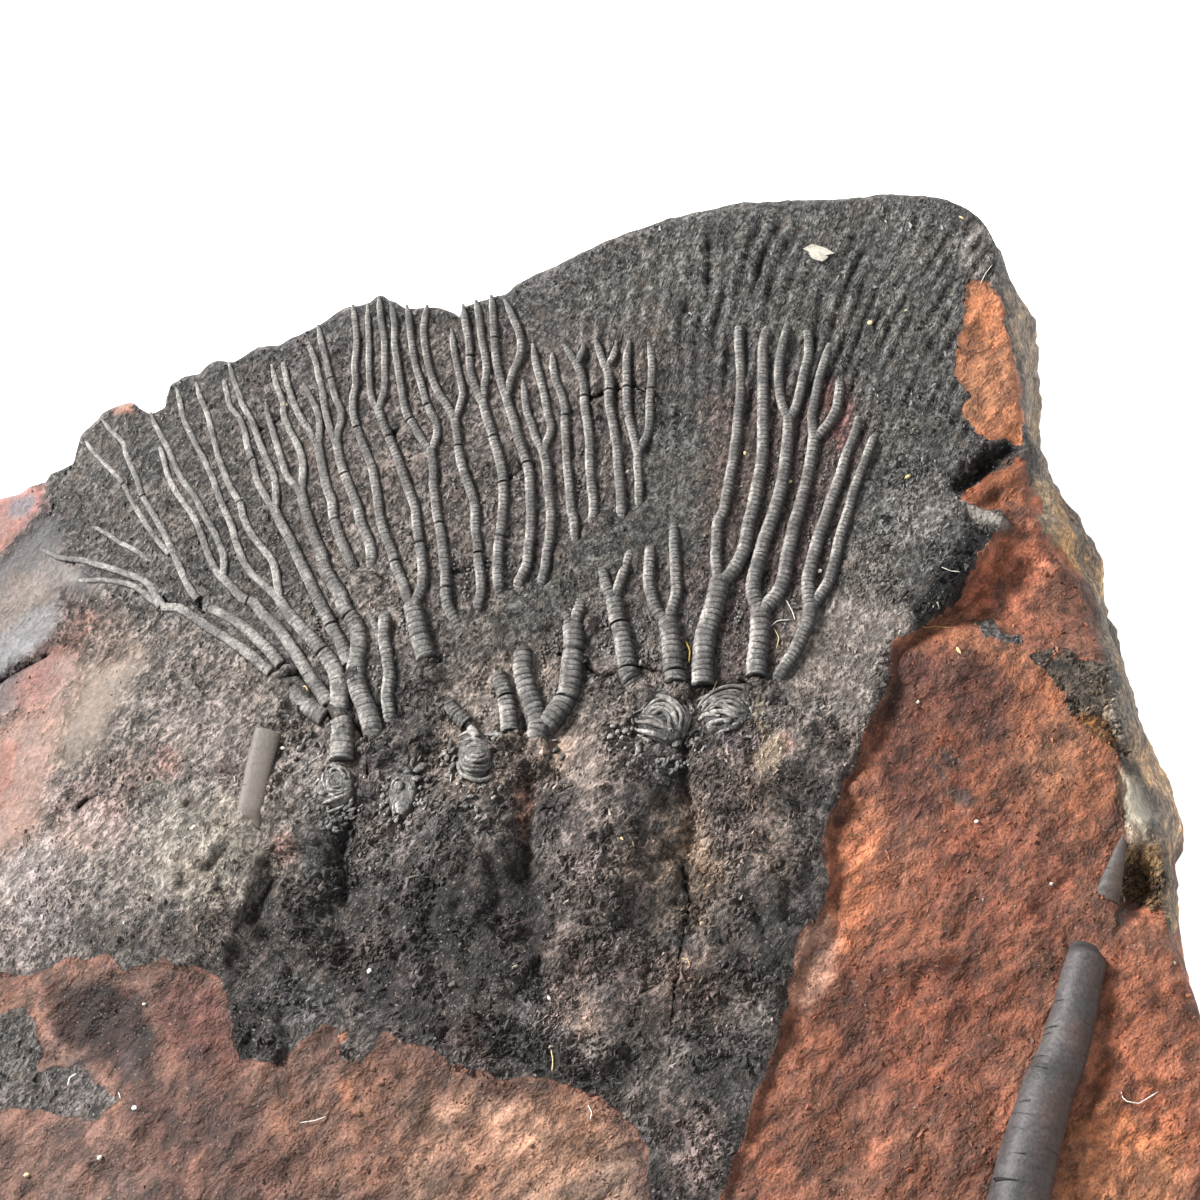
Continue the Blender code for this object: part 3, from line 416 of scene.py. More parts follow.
# Arms: for each node its strands, with their widths in mm at the tip and the base and their route from
# tip to base; a crack parts a strand at a gap.
GAP = None
ARMS = {
    "arm_01": (
        (1.2, 1.7, (
            (40, 549), (51, 554), (60, 558), (81, 560), (100, 565), (118, 571), (130, 575), (141, 579),
            (149, 585), (153, 591), (158, 599), (162, 605))),
        (1.1, 1.5, (
            (74, 579), (89, 580), (106, 580), (120, 582), (132, 585), (142, 591), (150, 598),
            (160, 605))),
        (1.9, 2.4, (
            (161, 606), (173, 606), (182, 608), (193, 615), (204, 623), (217, 631), (231, 640),
            (242, 648), (251, 655), (261, 664), (272, 673))),
    ),
    "arm_01_base": ((3.0, 3.4, ((287, 683), (296, 696), (305, 705), (314, 712), (325, 719))),),
    "arm_02": (
        (1.1, 1.7, (
            (101, 418), (112, 431), (123, 442), (127, 455), (133, 469), (138, 481), (141, 492), GAP,
            (145, 500), (153, 513), (162, 529), (171, 547), (178, 562), (185, 579), (193, 593),
            (198, 598))),
        (0.9, 1.1, ((121, 419), (118, 427), (114, 434))),
        (1.9, 2.6, ((203, 604), (217, 611), (234, 620), (250, 633), (260, 643), (271, 654), (281, 666))),
        (1.0, 1.4, (
            (83, 435), (91, 448), (101, 459), (112, 470), (120, 479), GAP, (126, 489), (133, 503),
            (141, 516), (150, 530), (158, 541), (170, 554))),
    ),
    "arm_02_side": ((1.0, 1.2, ((89, 523), (104, 532), (118, 541), (127, 546), (138, 552), (152, 563))),),
    "arm_03": (
        (1.2, 1.7, (
            (158, 440), (164, 460), (168, 475), (176, 492), (187, 507), (196, 521), (202, 536),
            (208, 553), (214, 567), (223, 580))),
        (1.2, 1.7, (
            (150, 411), (155, 424), (161, 435), (169, 450), (176, 467), (185, 484), (195, 497),
            (205, 516), (216, 536), (222, 550), (224, 562), (223, 578))),
        (2.0, 2.9, (
            (223, 578), (233, 588), (243, 598), GAP, (253, 602), (264, 615), (275, 625), (286, 639),
            (295, 653), (303, 665), (312, 680), (322, 694), (329, 705))),
    ),
    "arm_04": (
        (1.2, 1.8, (
            (176, 386), (180, 401), (184, 419), (192, 436), (199, 450), (208, 467), (215, 484),
            (221, 502), (231, 524), (235, 538), (241, 555), (249, 570), (260, 581), (270, 590),
            (281, 602))),
        (1.2, 1.8, (
            (196, 382), (201, 399), (207, 412), (211, 427), (215, 442), (219, 458), (225, 474),
            (231, 488), (238, 500), GAP, (241, 505), (244, 518), (252, 534), (261, 546), (272, 560),
            (276, 573), (278, 587), (280, 601))),
        (2.3, 3.6, (
            (280, 600), (292, 618), (301, 628), (310, 638), (318, 647), GAP, (327, 658), (335, 670),
            (339, 684), (340, 698), (339, 712))),
    ),
    "trunk_left": ((4.1, 4.4, ((341, 721), (343, 734), (343, 748), (342, 763))),),
    "arm_05": (
        (1.2, 1.7, (
            (222, 375), (227, 393), (230, 407), (239, 418), (244, 430), (247, 445), (250, 456), GAP,
            (253, 462), (257, 480), (264, 494), (274, 510))),
        (1.2, 1.7, (
            (229, 363), (234, 379), (239, 393), (244, 407), (251, 419), (256, 431), (260, 443),
            (267, 459), (273, 473), (276, 487), (276, 502), (274, 511))),
        (2.1, 2.9, (
            (274, 509), (281, 524), (289, 538), (296, 553), (304, 570), (312, 587), (319, 602),
            (327, 618), GAP, (335, 633), (342, 645), (347, 658), (350, 666))),
    ),
    "arm_06": (
        (1.3, 1.8, ((265, 402), (268, 416), (275, 439), (281, 458), (287, 476), (297, 488), (302, 498))),
        (1.3, 1.8, (
            (272, 365), (277, 385), (284, 405), (284, 415), (290, 430), (298, 445), (303, 461),
            (303, 474), (302, 498))),
        (2.2, 3.4, (
            (302, 496), (306, 511), (310, 524), (315, 538), (321, 553), (325, 570), (333, 584),
            (341, 596), (345, 610), GAP, (353, 621), (358, 633), (359, 648), (356, 664), (356, 682))),
        (3.4, 3.8, ((356, 680), (360, 694), (366, 708), (372, 726), (376, 743))),
    ),
    "arm_07": (
        (1.3, 1.8, ((282, 357), (286, 375), (289, 389), (297, 410), (303, 421), (310, 431), (318, 447))),
        (1.3, 1.7, ((302, 381), (308, 393), (314, 404), (319, 418), (319, 436), (318, 447))),
        (2.0, 2.4, (
            (318, 445), (323, 471), (327, 488), (332, 502), (333, 514), GAP, (336, 526), (342, 544),
            (350, 561), (356, 577))),
    ),
    "arm_08": (
        (1.3, 1.7, (
            (306, 338), (313, 355), (317, 366), (319, 378), (322, 388), (324, 402), (327, 418),
            (333, 436), (338, 447))),
        (1.4, 1.8, (
            (318, 325), (321, 341), (326, 360), (329, 375), GAP, (332, 384), (336, 398), (341, 410),
            (341, 421), (338, 433), (337, 447))),
        (2.0, 2.4, (
            (337, 445), (342, 467), GAP, (347, 481), (353, 496), (358, 510), (361, 524), (367, 538),
            (371, 552), (371, 573))),
    ),
    "arm_09": (
        (1.4, 2.4, (
            (353, 306), (356, 326), (357, 344), (355, 366), (356, 384), (353, 398), (354, 416), GAP,
            (361, 439), (366, 451), (372, 467), (375, 482), (378, 499), (380, 515), (382, 524),
            (387, 540), (393, 555), GAP, (397, 570), (404, 586), (407, 597), (413, 608))),
        (1.3, 1.6, ((368, 306), (369, 344), (369, 366), (370, 387), (373, 401), (379, 411))),
        (1.4, 1.8, ((379, 298), (382, 324), (385, 344), (385, 366), (385, 387), (382, 399), (378, 411))),
        (1.9, 2.4, (
            (378, 409), (384, 427), (387, 433), GAP, (391, 442), (398, 459), (404, 477), (410, 494),
            (416, 510), (417, 524), (419, 538), GAP, (421, 552), (423, 566), (423, 580), (421, 592),
            (413, 608))),
        (3.4, 3.8, ((412, 605), (416, 621), (420, 638), (427, 661))),
    ),
    "arm_10": (
        (2.7, 2.6, (
            (385, 608), (385, 622), (385, 641), (388, 658), (390, 677), (388, 697), (390, 716),
            (391, 731))),
        (1.3, 1.7, ((367, 609), (373, 621), (384, 648))),
    ),
    "arm_11": (
        (1.5, 1.9, (
            (391, 305), (395, 327), (395, 346), (398, 366), (401, 386), (404, 404), (407, 415), GAP,
            (413, 425), (419, 436), (425, 445), (431, 452))),
        (1.5, 1.9, (
            (407, 307), (410, 327), (412, 344), (416, 366), (421, 382), (425, 398), GAP, (430, 412),
            (436, 424), (437, 436), (432, 452))),
        (2.0, 2.5, (
            (431, 450), (434, 470), (434, 487), (436, 502), (438, 518), GAP, (441, 533), (443, 549),
            (445, 566), (446, 579), GAP, (446, 598), (449, 609), (455, 620), (464, 635))),
    ),
    "arm_12": (
        (1.6, 1.9, (
            (427, 307), (424, 330), (425, 346), (428, 363), (432, 378), (438, 392), (446, 404),
            (455, 421))),
        (1.5, 1.8, ((452, 330), (454, 349), (457, 365), (460, 378), (463, 393), (460, 407), (455, 421))),
        (2.0, 2.3, (
            (455, 420), (458, 439), GAP, (460, 458), (464, 474), (470, 491), (475, 507), (476, 532),
            (478, 546), GAP, (479, 563), (481, 578), (481, 593), (477, 607), (472, 618))),
    ),
    "arm_13": (
        (1.7, 2.0, (
            (463, 306), (466, 326), (469, 341), (470, 353), GAP, (470, 363), (472, 378), (478, 393),
            (483, 404))),
        (1.7, 1.9, ((476, 302), (480, 324), (482, 341), (485, 356), (487, 372), (485, 386), (483, 404))),
        (2.1, 2.4, (
            (483, 402), (487, 419), (492, 433), GAP, (495, 445), (500, 462), (503, 477), GAP, (504, 494),
            (504, 505), (502, 530), GAP, (499, 547), (498, 564), (498, 579), (501, 599))),
    ),
    "arm_14": (
        (1.7, 2.0, (
            (491, 297), (493, 315), (494, 332), GAP, (495, 349), (497, 366), (501, 382), (506, 397))),
        (1.7, 2.0, ((505, 301), (512, 318), (519, 334), (521, 346), (519, 360), (513, 374), (506, 397))),
        (2.1, 2.3, (
            (506, 395), (510, 410), (515, 425), (519, 442), (524, 456), GAP, (529, 474), (530, 491),
            (531, 508), (531, 521), (530, 540), (528, 549), (527, 563), (522, 575), (513, 591))),
    ),
    "arm_15": (
        (1.6, 1.9, ((523, 379), (525, 396), (527, 412), (532, 425), (536, 439), (543, 452))),
        (1.7, 2.0, ((533, 344), (536, 364), (541, 382), (545, 399), (548, 415), (551, 430), (543, 452))),
        (2.2, 2.2, (
            (543, 450), (547, 468), (548, 485), (550, 502), (551, 520), (550, 537), (547, 553),
            (545, 569), (539, 590))),
    ),
    "arm_16": (
        (1.8, 2.1, (
            (552, 352), (555, 378), (561, 393), (565, 409), GAP, (565, 424), (566, 442), (567, 461),
            (568, 473), (570, 493), (571, 510), (574, 521), (575, 538), (574, 547))),
    ),
    "arm_17": (
        (1.4, 1.8, ((562, 341), (568, 350), (577, 363))),
        (1.4, 1.8, ((584, 340), (583, 350), (577, 363))),
        (1.9, 2.2, (
            (576, 361), (581, 372), (584, 387), GAP, (585, 407), (588, 425), (590, 444), (590, 462),
            (591, 479), (593, 494), (594, 510), (593, 520), (594, 534))),
    ),
    "arm_18": (
        (1.5, 1.8, ((595, 334), (598, 346), (606, 369))),
        (1.6, 1.8, ((617, 340), (614, 355), (606, 369))),
        (2.0, 2.2, (
            (606, 367), (609, 379), GAP, (609, 402), (612, 419), (615, 436), (617, 448), (618, 465),
            (620, 484), (621, 502), (621, 523))),
    ),
    "arm_19": (
        (1.8, 2.0, (
            (630, 340), (627, 360), (627, 378), GAP, (627, 396), (628, 413), (632, 428), (638, 451))),
        (1.8, 2.0, (
            (649, 342), (652, 360), (652, 378), GAP, (650, 399), (650, 418), (648, 433), (638, 451))),
        (2.1, 1.9, ((638, 449), (638, 467), (639, 484), (639, 499), (639, 510))),
    ),
    "arm_20": (
        (2.2, 2.6, ((600, 559), (603, 573), (606, 587), (614, 603))),
        (2.0, 2.4, ((634, 541), (630, 553), (627, 562), (621, 580), (614, 603))),
        (3.2, 3.6, (
            (614, 600), (617, 618), GAP, (620, 630), (623, 645), (626, 663), GAP, (629, 674),
            (636, 686))),
    ),
    "arm_21": (
        (2.4, 2.7, ((652, 538), (650, 553), (649, 569), (649, 584), (652, 598), (656, 610), (667, 624))),
        (2.2, 2.6, ((673, 514), (674, 541), (675, 560), (676, 578), (676, 596), (667, 624))),
        (3.5, 4.0, ((667, 621), (670, 636), (672, 651), (673, 667), GAP, (675, 677), (675, 683))),
    ),
    "arm_22": (
        (2.1, 2.5, (
            (740, 319), (739, 341), (740, 356), (741, 372), (741, 387), (740, 402), (738, 418),
            (737, 433), (735, 447), (733, 462), (730, 477), (727, 494), (724, 510), (718, 523),
            (717, 541), (716, 560), (719, 581))),
        (2.3, 2.9, (
            (770, 322), (764, 341), (763, 360), (763, 396), (763, 433), (763, 451), (761, 468),
            (758, 482), (755, 497), (752, 512), (748, 527), (746, 541), (740, 559), (732, 573),
            (721, 584))),
        (3.7, 4.1, ((720, 580), (716, 600), (711, 618), (706, 635), (704, 650), (703, 665), (703, 686))),
    ),
    "arm_23": (
        (2.0, 2.2, ((790, 319), (786, 334), (781, 353), (779, 372), (780, 390), (783, 404), (789, 418))),
        (2.1, 2.3, ((807, 323), (809, 352), (805, 370), (802, 384), (799, 398), (795, 410), (789, 418))),
        (2.5, 3.1, (
            (789, 416), (788, 439), (786, 456), (784, 473), (781, 488), (775, 509), (769, 527),
            (763, 544), (759, 560), (755, 575), (753, 592), (760, 614))),
        (2.0, 2.3, ((831, 342), (822, 369), (818, 385), (815, 401), (812, 416), (814, 438))),
        (2.1, 2.3, ((841, 374), (839, 393), (836, 409), (830, 421), (822, 431), (814, 438))),
        (2.5, 3.1, (
            (814, 436), (812, 453), (809, 470), (805, 488), (799, 510), (795, 523), (791, 541),
            (787, 560), (784, 578), (778, 593), (761, 614))),
        (3.7, 3.8, ((760, 611), (760, 630), (759, 645), (757, 660), (756, 678))),
    ),
    "arm_24": (
        (2.0, 2.9, (
            (861, 410), (857, 427), (852, 441), (846, 456), (841, 473), (836, 487), (831, 500),
            (826, 517), (820, 533), (815, 550), (811, 566), (808, 583), (810, 609))),
        (1.9, 2.6, (
            (877, 430), (871, 444), (865, 461), (859, 476), (854, 490), (850, 505), (844, 524),
            (839, 541), (835, 560), (830, 578), (824, 590), (810, 609))),
        (3.0, 2.6, ((810, 607), (809, 621), (803, 635), (797, 648), (790, 660), (780, 675), (773, 685))),
    ),
    "arm_25": (
        (3.4, 4.2, (
            (522, 641), (523, 656), (523, 671), (527, 687), (531, 700), (535, 712), (539, 727),
            (537, 739), (535, 754))),
        (2.2, 2.8, ((557, 603), (563, 612), (573, 629))),
        (2.4, 2.8, ((580, 593), (579, 609), (573, 629))),
        (3.8, 4.2, (
            (573, 626), (574, 642), GAP, (572, 660), (570, 680), (568, 693), GAP, (563, 704), (555, 715),
            (546, 727), (539, 738))),
    ),
    "arm_26": ((3.0, 3.5, ((498, 673), (503, 688), GAP, (507, 704), (509, 719), (510, 733))),),
    "arm_27": ((2.6, 3.2, ((446, 696), (454, 711), (461, 718), (467, 724))),),
}

# Arms whose base slides under the rock, and arms whose thick tip is broken off square.
SUNK_ARMS = (
    "arm_02_side", "arm_06", "arm_07", "arm_08", "arm_10", "arm_12", "arm_13", "arm_14", "arm_15",
    "arm_16", "arm_17", "arm_18", "arm_19", "arm_20", "arm_24", "arm_25",
)
BLUNT_ARMS = ("arm_01_base", "trunk_left", "arm_26")

# Stems: widths in mm at both ends, rise as a share of the width, how both ends stop, tone, how far the
# joints are worn away, route.
STEMS = {
    "stem_column": (7.4, 11.6, 0.54, "sunk", "cut", 0.0, 0.0, (
        (1092, 945), (1084, 970), (1079, 990), (1075, 1010), (1069, 1030), (1064, 1050), (1056, 1070),
        (1047, 1090), (1041, 1110), (1035, 1130), (1029, 1150), (1024, 1170), (1020, 1190),
        (1010, 1244))),
    "stem_tip": (1.4, 5.2, 0.36, "thin", "sunk", 0.25, 0.0, (
        (1124, 834), (1120, 850), (1114, 872), (1107, 900))),
    "stem_fragment": (5.3, 5.0, 0.20, "cut", "sunk", 1.0, 1.0, (
        (268, 732), (262, 757), (256, 785), (250, 810), (247, 828))),
}

# Clusters: dome (column, row, half-widths and rise in mm), fans of slats between an outer and an inner
# line (how many, width in mm), single slats (width in mm, line), lumps (column, row, length and width in
# steps, turn in degrees, shade).
CLUSTERS = {
    "plates_left": (
        (336, 787, 3.8, 4.6, 1.7),
        (
            (3, 0.8,
                ((326, 776), (330, 769), (338, 767), (346, 771), (349, 778), (347, 785)),
                ((332, 778), (334, 775), (338, 774), (340, 777), (341, 780), (339, 783))),
            (3, 0.8, ((327, 782), (328, 789), (335, 793), (343, 791), (347, 786)),
             ((331, 780), (332, 784), (336, 786), (339, 785), (341, 782)))),
        (
            (1.0, ((326, 768), (338, 764), (351, 766))), (1.0, ((324, 775), (323, 784), (327, 790))),
            (1.1, ((304, 769), (313, 762), (322, 756))), (1.0, ((302, 777), (311, 771), (320, 765))),
            (1.0, ((303, 786), (310, 779), (320, 773))), (0.9, ((306, 792), (314, 786), (321, 780))),
            (1.1, ((320, 804), (334, 801), (347, 795))), (1.0, ((320, 820), (333, 821), (343, 815))),
            (0.9, ((318, 811), (332, 811), (345, 805))), (1.0, ((326, 797), (337, 795), (348, 790)))),
        (
            (323, 795, 9, 6, 0, 0.9), (335, 797, 7, 5, 20, 1.0), (361, 750, 7, 7, 0, 0.8),
            (362, 741, 6, 5, 0, 1.0), (367, 759, 15, 8, 55, 0.8), (311, 735, 9, 5, 55, 0.8),
            (301, 749, 10, 6, 60, 0.9), (296, 760, 7, 4, 40, 0.6), (316, 745, 7, 4, 50, 0.7),
            (290, 772, 8, 4, 50, 0.6), (311, 800, 7, 5, 30, 0.6), (356, 786, 6, 5, 70, 0.5),
            (352, 800, 7, 4, 60, 0.6), (308, 812, 8, 4, 30, 0.5), (338, 831, 8, 4, 10, 0.5),
            (324, 828, 7, 5, 20, 0.6), (292, 740, 6, 4, 70, 0.6), (346, 779, 5, 4, 60, 0.7)),
    ),
    "plates_small": (
        (402, 790, 3.0, 5.6, 1.3),
        (),
        (
            (0.8, ((392, 796), (393, 786), (398, 780), (405, 781))),
            (0.8, ((393, 816), (394, 804), (399, 797)))),
        (
            (390, 774, 14, 6, 20, 0.8), (400, 787, 12, 10, 60, 0.5), (404, 806, 24, 15, 65, 0.55),
            (413, 761, 12, 7, 75, 0.9), (421, 767, 17, 9, 35, 0.7), (416, 779, 10, 8, 0, 0.95),
            (408, 773, 9, 6, 30, 0.7), (395, 764, 10, 5, 10, 0.6), (411, 790, 8, 6, 70, 0.8),
            (388, 788, 7, 4, 80, 0.7), (427, 779, 7, 5, 40, 0.6), (388, 812, 7, 4, 80, 0.5),
            (382, 760, 8, 5, 30, 0.6), (418, 796, 8, 4, 60, 0.5)),
    ),
    "plates_middle": (
        (475, 756, 3.6, 5.6, 1.9),
        (
            (5, 1.0, ((459, 764), (463, 775), (476, 780), (488, 776), (492, 766)),
             ((467, 752), (470, 756), (477, 758), (484, 756), (488, 750))),),
        (
            (3.0, ((466, 722), (472, 731), (477, 739))), (1.2, ((458, 736), (468, 732), (480, 737))),
            (1.2, ((461, 743), (473, 740), (488, 745))), (1.2, ((463, 750), (475, 747), (488, 751))),
            (1.3, ((484, 734), (499, 735), (514, 741))), (1.0, ((482, 740), (490, 742), (500, 747))),
            (0.8, ((538, 760), (537, 749), (544, 742), (557, 739))),
            (0.7, ((534, 748), (535, 760), (534, 772)))),
        (
            (489, 748, 9, 6, 10, 1.0), (500, 754, 12, 8, 20, 0.9), (509, 750, 8, 6, 60, 0.7),
            (520, 746, 9, 7, 0, 0.6), (495, 764, 6, 10, 20, 0.9), (509, 779, 10, 8, 0, 0.7),
            (531, 773, 8, 8, 0, 0.7), (452, 767, 12, 6, 65, 0.7), (447, 758, 10, 6, 70, 0.9),
            (449, 776, 8, 6, 0, 1.0), (516, 761, 12, 5, 5, 0.5), (505, 768, 8, 6, 50, 0.6),
            (494, 738, 7, 5, 20, 0.8), (453, 750, 8, 5, 50, 0.8), (497, 779, 8, 5, 30, 0.5),
            (522, 757, 7, 6, 0, 0.5), (483, 788, 9, 5, 10, 0.6), (466, 786, 8, 4, -10, 0.7),
            (556, 749, 8, 6, 30, 0.8), (548, 757, 8, 6, 60, 0.7), (562, 757, 9, 6, 50, 0.6)),
    ),
    "plates_swirl": (
        (664, 722, 5.0, 5.6, 2.6),
        (
            (7, 1.1,
                ((639, 705), (651, 693), (668, 690), (683, 697), (690, 709), (689, 723), (682, 738)),
                ((646, 722), (654, 716), (662, 716), (668, 721), (670, 728), (672, 733), (673, 739))),),
        (
            (1.25, ((634, 721), (652, 726), (671, 733))), (1.25, ((632, 728), (648, 735), (667, 742))),
            (1.15, ((638, 735), (649, 742), (658, 748))), (1.0, ((642, 717), (652, 720), (664, 727))),
            (0.9, ((629, 716), (637, 711), (645, 709))), (0.9, ((652, 749), (662, 752), (676, 751))),
            (0.8, ((657, 758), (668, 760), (680, 757)))),
        (
            (676, 745, 12, 9, 30, 0.9), (658, 750, 14, 5, 0, 0.8), (677, 757, 10, 7, 20, 0.8),
            (630, 716, 9, 6, 60, 0.9), (624, 722, 10, 7, 60, 1.0), (626, 731, 9, 6, 20, 1.0),
            (622, 710, 8, 5, 40, 0.7), (634, 707, 9, 5, 30, 0.6), (614, 726, 9, 6, 30, 0.8),
            (611, 737, 10, 7, 40, 0.8), (640, 757, 8, 5, 60, 0.6), (664, 766, 8, 6, 60, 0.7),
            (646, 768, 8, 5, 40, 0.6), (686, 744, 7, 5, 50, 0.7), (619, 745, 7, 5, 40, 0.6),
            (670, 774, 7, 5, 20, 0.6)),
    ),
    "plates_right": (
        (726, 714, 5.2, 4.4, 2.2),
        (
            (5, 1.0,
                ((695, 712), (705, 699), (719, 689), (734, 686), (746, 690), (752, 699)),
                ((705, 717), (711, 709), (721, 704), (731, 703), (739, 706), (743, 711))),
            (3, 1.0,
                ((700, 712), (709, 703), (720, 701), (728, 708), (738, 713), (748, 708)),
                ((704, 718), (711, 713), (719, 713), (727, 716), (735, 719), (742, 716)))),
        (
            (1.2, ((694, 723), (706, 716), (720, 718))), (1.3, ((698, 730), (711, 725), (730, 721))),
            (1.2, ((703, 737), (716, 734), (730, 730))), (1.0, ((690, 701), (697, 699), (708, 694)))),
        (
            (689, 733, 9, 7, 20, 1.0), (713, 728, 16, 7, 20, 0.9), (728, 723, 12, 6, 25, 0.9),
            (701, 738, 13, 6, 20, 0.8), (719, 736, 10, 5, 20, 0.8), (700, 727, 8, 5, 30, 0.9),
            (751, 737, 7, 5, 20, 0.9), (736, 726, 8, 5, 10, 0.7), (692, 741, 8, 5, 50, 0.7),
            (752, 708, 7, 5, 60, 1.0), (757, 716, 8, 6, 20, 1.0), (762, 725, 7, 5, 40, 0.9),
            (760, 736, 8, 6, 60, 0.9), (756, 728, 6, 5, 0, 1.0), (766, 745, 7, 5, 30, 0.8),
            (771, 735, 6, 5, 40, 0.9), (749, 703, 6, 5, 0, 0.9), (755, 748, 8, 5, 50, 0.8)),
    ),
}

# Plates scattered around the clusters: the cluster's dome, how many, the arc they fill in degrees.
SCATTER = (
    (CLUSTERS["plates_left"][0], 90, (40, 250)), (CLUSTERS["plates_small"][0], 36, (-60, 200)),
    (CLUSTERS["plates_middle"][0], 60, (-10, 200)), (CLUSTERS["plates_swirl"][0], 70, (20, 190)),
    (CLUSTERS["plates_right"][0], 40, (-30, 140)),
)

# Mats of tiny plates in the rock: left, right, top and bottom edge, how closely they lie.
MATS = (
    (600, 664, 615, 664, 1.3), (740, 800, 600, 680, 1.0), (585, 625, 600, 660, 1.0),
    (640, 665, 600, 664, 1.2), (684, 740, 600, 680, 1.0), (540, 570, 640, 700, 1.3),
    (395, 415, 610, 670, 1.0), (360, 385, 640, 730, 1.0), (700, 790, 480, 600, 0.5),
    (430, 470, 560, 660, 0.6), (290, 345, 560, 640, 0.6), (560, 620, 430, 540, 0.4),
    (400, 520, 470, 600, 0.4), (760, 860, 440, 600, 0.4), (480, 500, 680, 735, 1.0),
    (510, 530, 690, 735, 1.0),
)
MAT_STEPS = 75                  # square steps for one row of plates

# Loose bits: column, row, length and width in mm, turn in degrees, colour.
STRAW = (214, 192, 146)
PALE = (222, 218, 208)
CHIPS = (
    (870, 322, 1.5, 1.0, 60, STRAW), (622, 841, 1.7, 0.7, 100, STRAW), (632, 843, 1.9, 0.6, 110, STRAW),
    (790, 480, 1.0, 0.7, 20, STRAW), (745, 452, 1.0, 0.7, 80, STRAW), (908, 475, 1.6, 0.7, 30, STRAW),
    (286, 406, 1.1, 0.8, 60, STRAW), (305, 690, 1.9, 1.2, 130, STRAW), (642, 528, 1.0, 0.8, 40, STRAW),
    (820, 570, 1.2, 0.9, 20, PALE), (490, 378, 1.1, 0.8, 70, PALE), (640, 662, 1.5, 0.6, 75, PALE),
    (677, 652, 1.6, 1.1, 30, (214, 160, 128)), (958, 652, 1.8, 0.6, 120, STRAW),
    (125, 927, 2.0, 0.4, 95, PALE), (145, 1005, 0.8, 0.5, 20, PALE), (100, 1158, 1.2, 0.7, 40, PALE),
    (27, 1175, 1.3, 0.8, 10, STRAW), (549, 998, 1.2, 0.6, 130, PALE), (369, 970, 1.2, 0.9, 60, PALE),
    (906, 310, 0.8, 0.5, 15, STRAW), (135, 1108, 1.4, 0.9, 20, PALE), (283, 749, 0.9, 0.6, 0, PALE),
    (961, 219, 1.2, 0.4, 140, STRAW), (976, 822, 0.9, 0.7, 0, PALE), (918, 702, 0.7, 0.6, 0, PALE),
    (1051, 884, 0.7, 0.6, 0, PALE),
)
CHIP_OUTLINE = ((-0.5, 0.0), (-0.25, -0.45), (0.2, -0.5), (0.5, -0.05), (0.25, 0.42), (-0.2, 0.5))

# Grains: corners of the foot and the two ridge points, and the faces between them.
GRAIN_CORNERS = ((-1.0, -0.55), (1.0, -0.45), (0.85, 0.5), (-0.9, 0.6), (-0.55, 0.0), (0.5, 0.05))
GRAIN_FACES = ((0, 1, 5, 4), (1, 2, 5), (2, 3, 4, 5), (3, 0, 4), (3, 2, 1, 0))

# Fibres: thickness in mm, colour, route.
FIBRES = (
    (0.35, (226, 190, 96), ((686, 641), (690, 650), (689, 662))), (0.28, STRAW, ((717, 680), (713, 690))),
    (0.22, STRAW, ((551, 1050), (553, 1060), (552, 1072))),
    (0.22, PALE, ((588, 1105), (592, 1113), (590, 1120))),
    (0.22, PALE, ((1121, 1092), (1123, 1101), (1138, 1104), (1158, 1092))),
    (0.16, PALE, ((770, 628), (777, 622), (790, 621))),
    (0.18, STRAW, ((774, 630), (779, 639), (776, 650))),
    (0.2, PALE, ((112, 1082), (118, 1090), (121, 1099))),
    (0.25, PALE, ((68, 1086), (70, 1078), (77, 1074))),
    (0.16, PALE, ((941, 568), (950, 572), (960, 573))),
    (0.2, STRAW, ((682, 958), (688, 960), (690, 965))),
    (0.16, PALE, ((300, 1123), (315, 1121), (326, 1117))),
    (0.16, PALE, ((992, 266), (985, 275), (980, 285))),
    (0.16, PALE, ((786, 600), (792, 612), (795, 622))),
    (0.2, (196, 150, 96), ((920, 626), (935, 628), (950, 630))),
)
FIBRE_SIDES = 5
FIBRE_PARTS = 8

# Outlines of the two leaves of the pale flake.
FLAKE = (
    ((803, 250), (812, 246), (826, 249), (834, 254), (826, 257), (812, 255)),
    ((808, 256), (818, 254), (828, 259), (822, 264), (812, 262)),
)

# Floor: radius and height of its rings, gap to the slab, in metres.
FLOOR_RINGS = ((1.5, 0.0), (2.4, 0.04), (2.9, 0.25), (3.1, 0.6), (3.2, 1.4))
FLOOR_GAP = 0.0004


# --- the leaning sheet -----------------------------------------------------------------------

def to_sheet(x, y, z):
    """Column and row at which a point over the slab is seen."""
    lift = z - FACE_HEIGHT
    up = y * SIGHT_SIN + lift * SIGHT_COS
    away = SIGHT_DISTANCE + y * SIGHT_COS - lift * SIGHT_SIN
    scale = SHEET_HALF * SIGHT_DISTANCE / SHEET_REACH / away
    return SHEET_HALF + x * scale, SHEET_HALF - up * scale


def at_height(column, row, z):
    """Plan position of a drawn point that lies at height z."""
    lift = z - FACE_HEIGHT
    slope = SHEET_REACH / SHEET_HALF / SIGHT_DISTANCE
    rise = (SHEET_HALF - row) * slope
    y = (rise * (SIGHT_DISTANCE - lift * SIGHT_SIN) - lift * SIGHT_COS) / (SIGHT_SIN - rise * SIGHT_COS)
    x = (column - SHEET_HALF) * slope * (SIGHT_DISTANCE + y * SIGHT_COS - lift * SIGHT_SIN)
    return x, y


def smooth(t):
    """0 below 0, 1 above 1, a soft step between."""
    t = np.clip(t, 0.0, 1.0)
    return t * t * (3.0 - 2.0 * t)


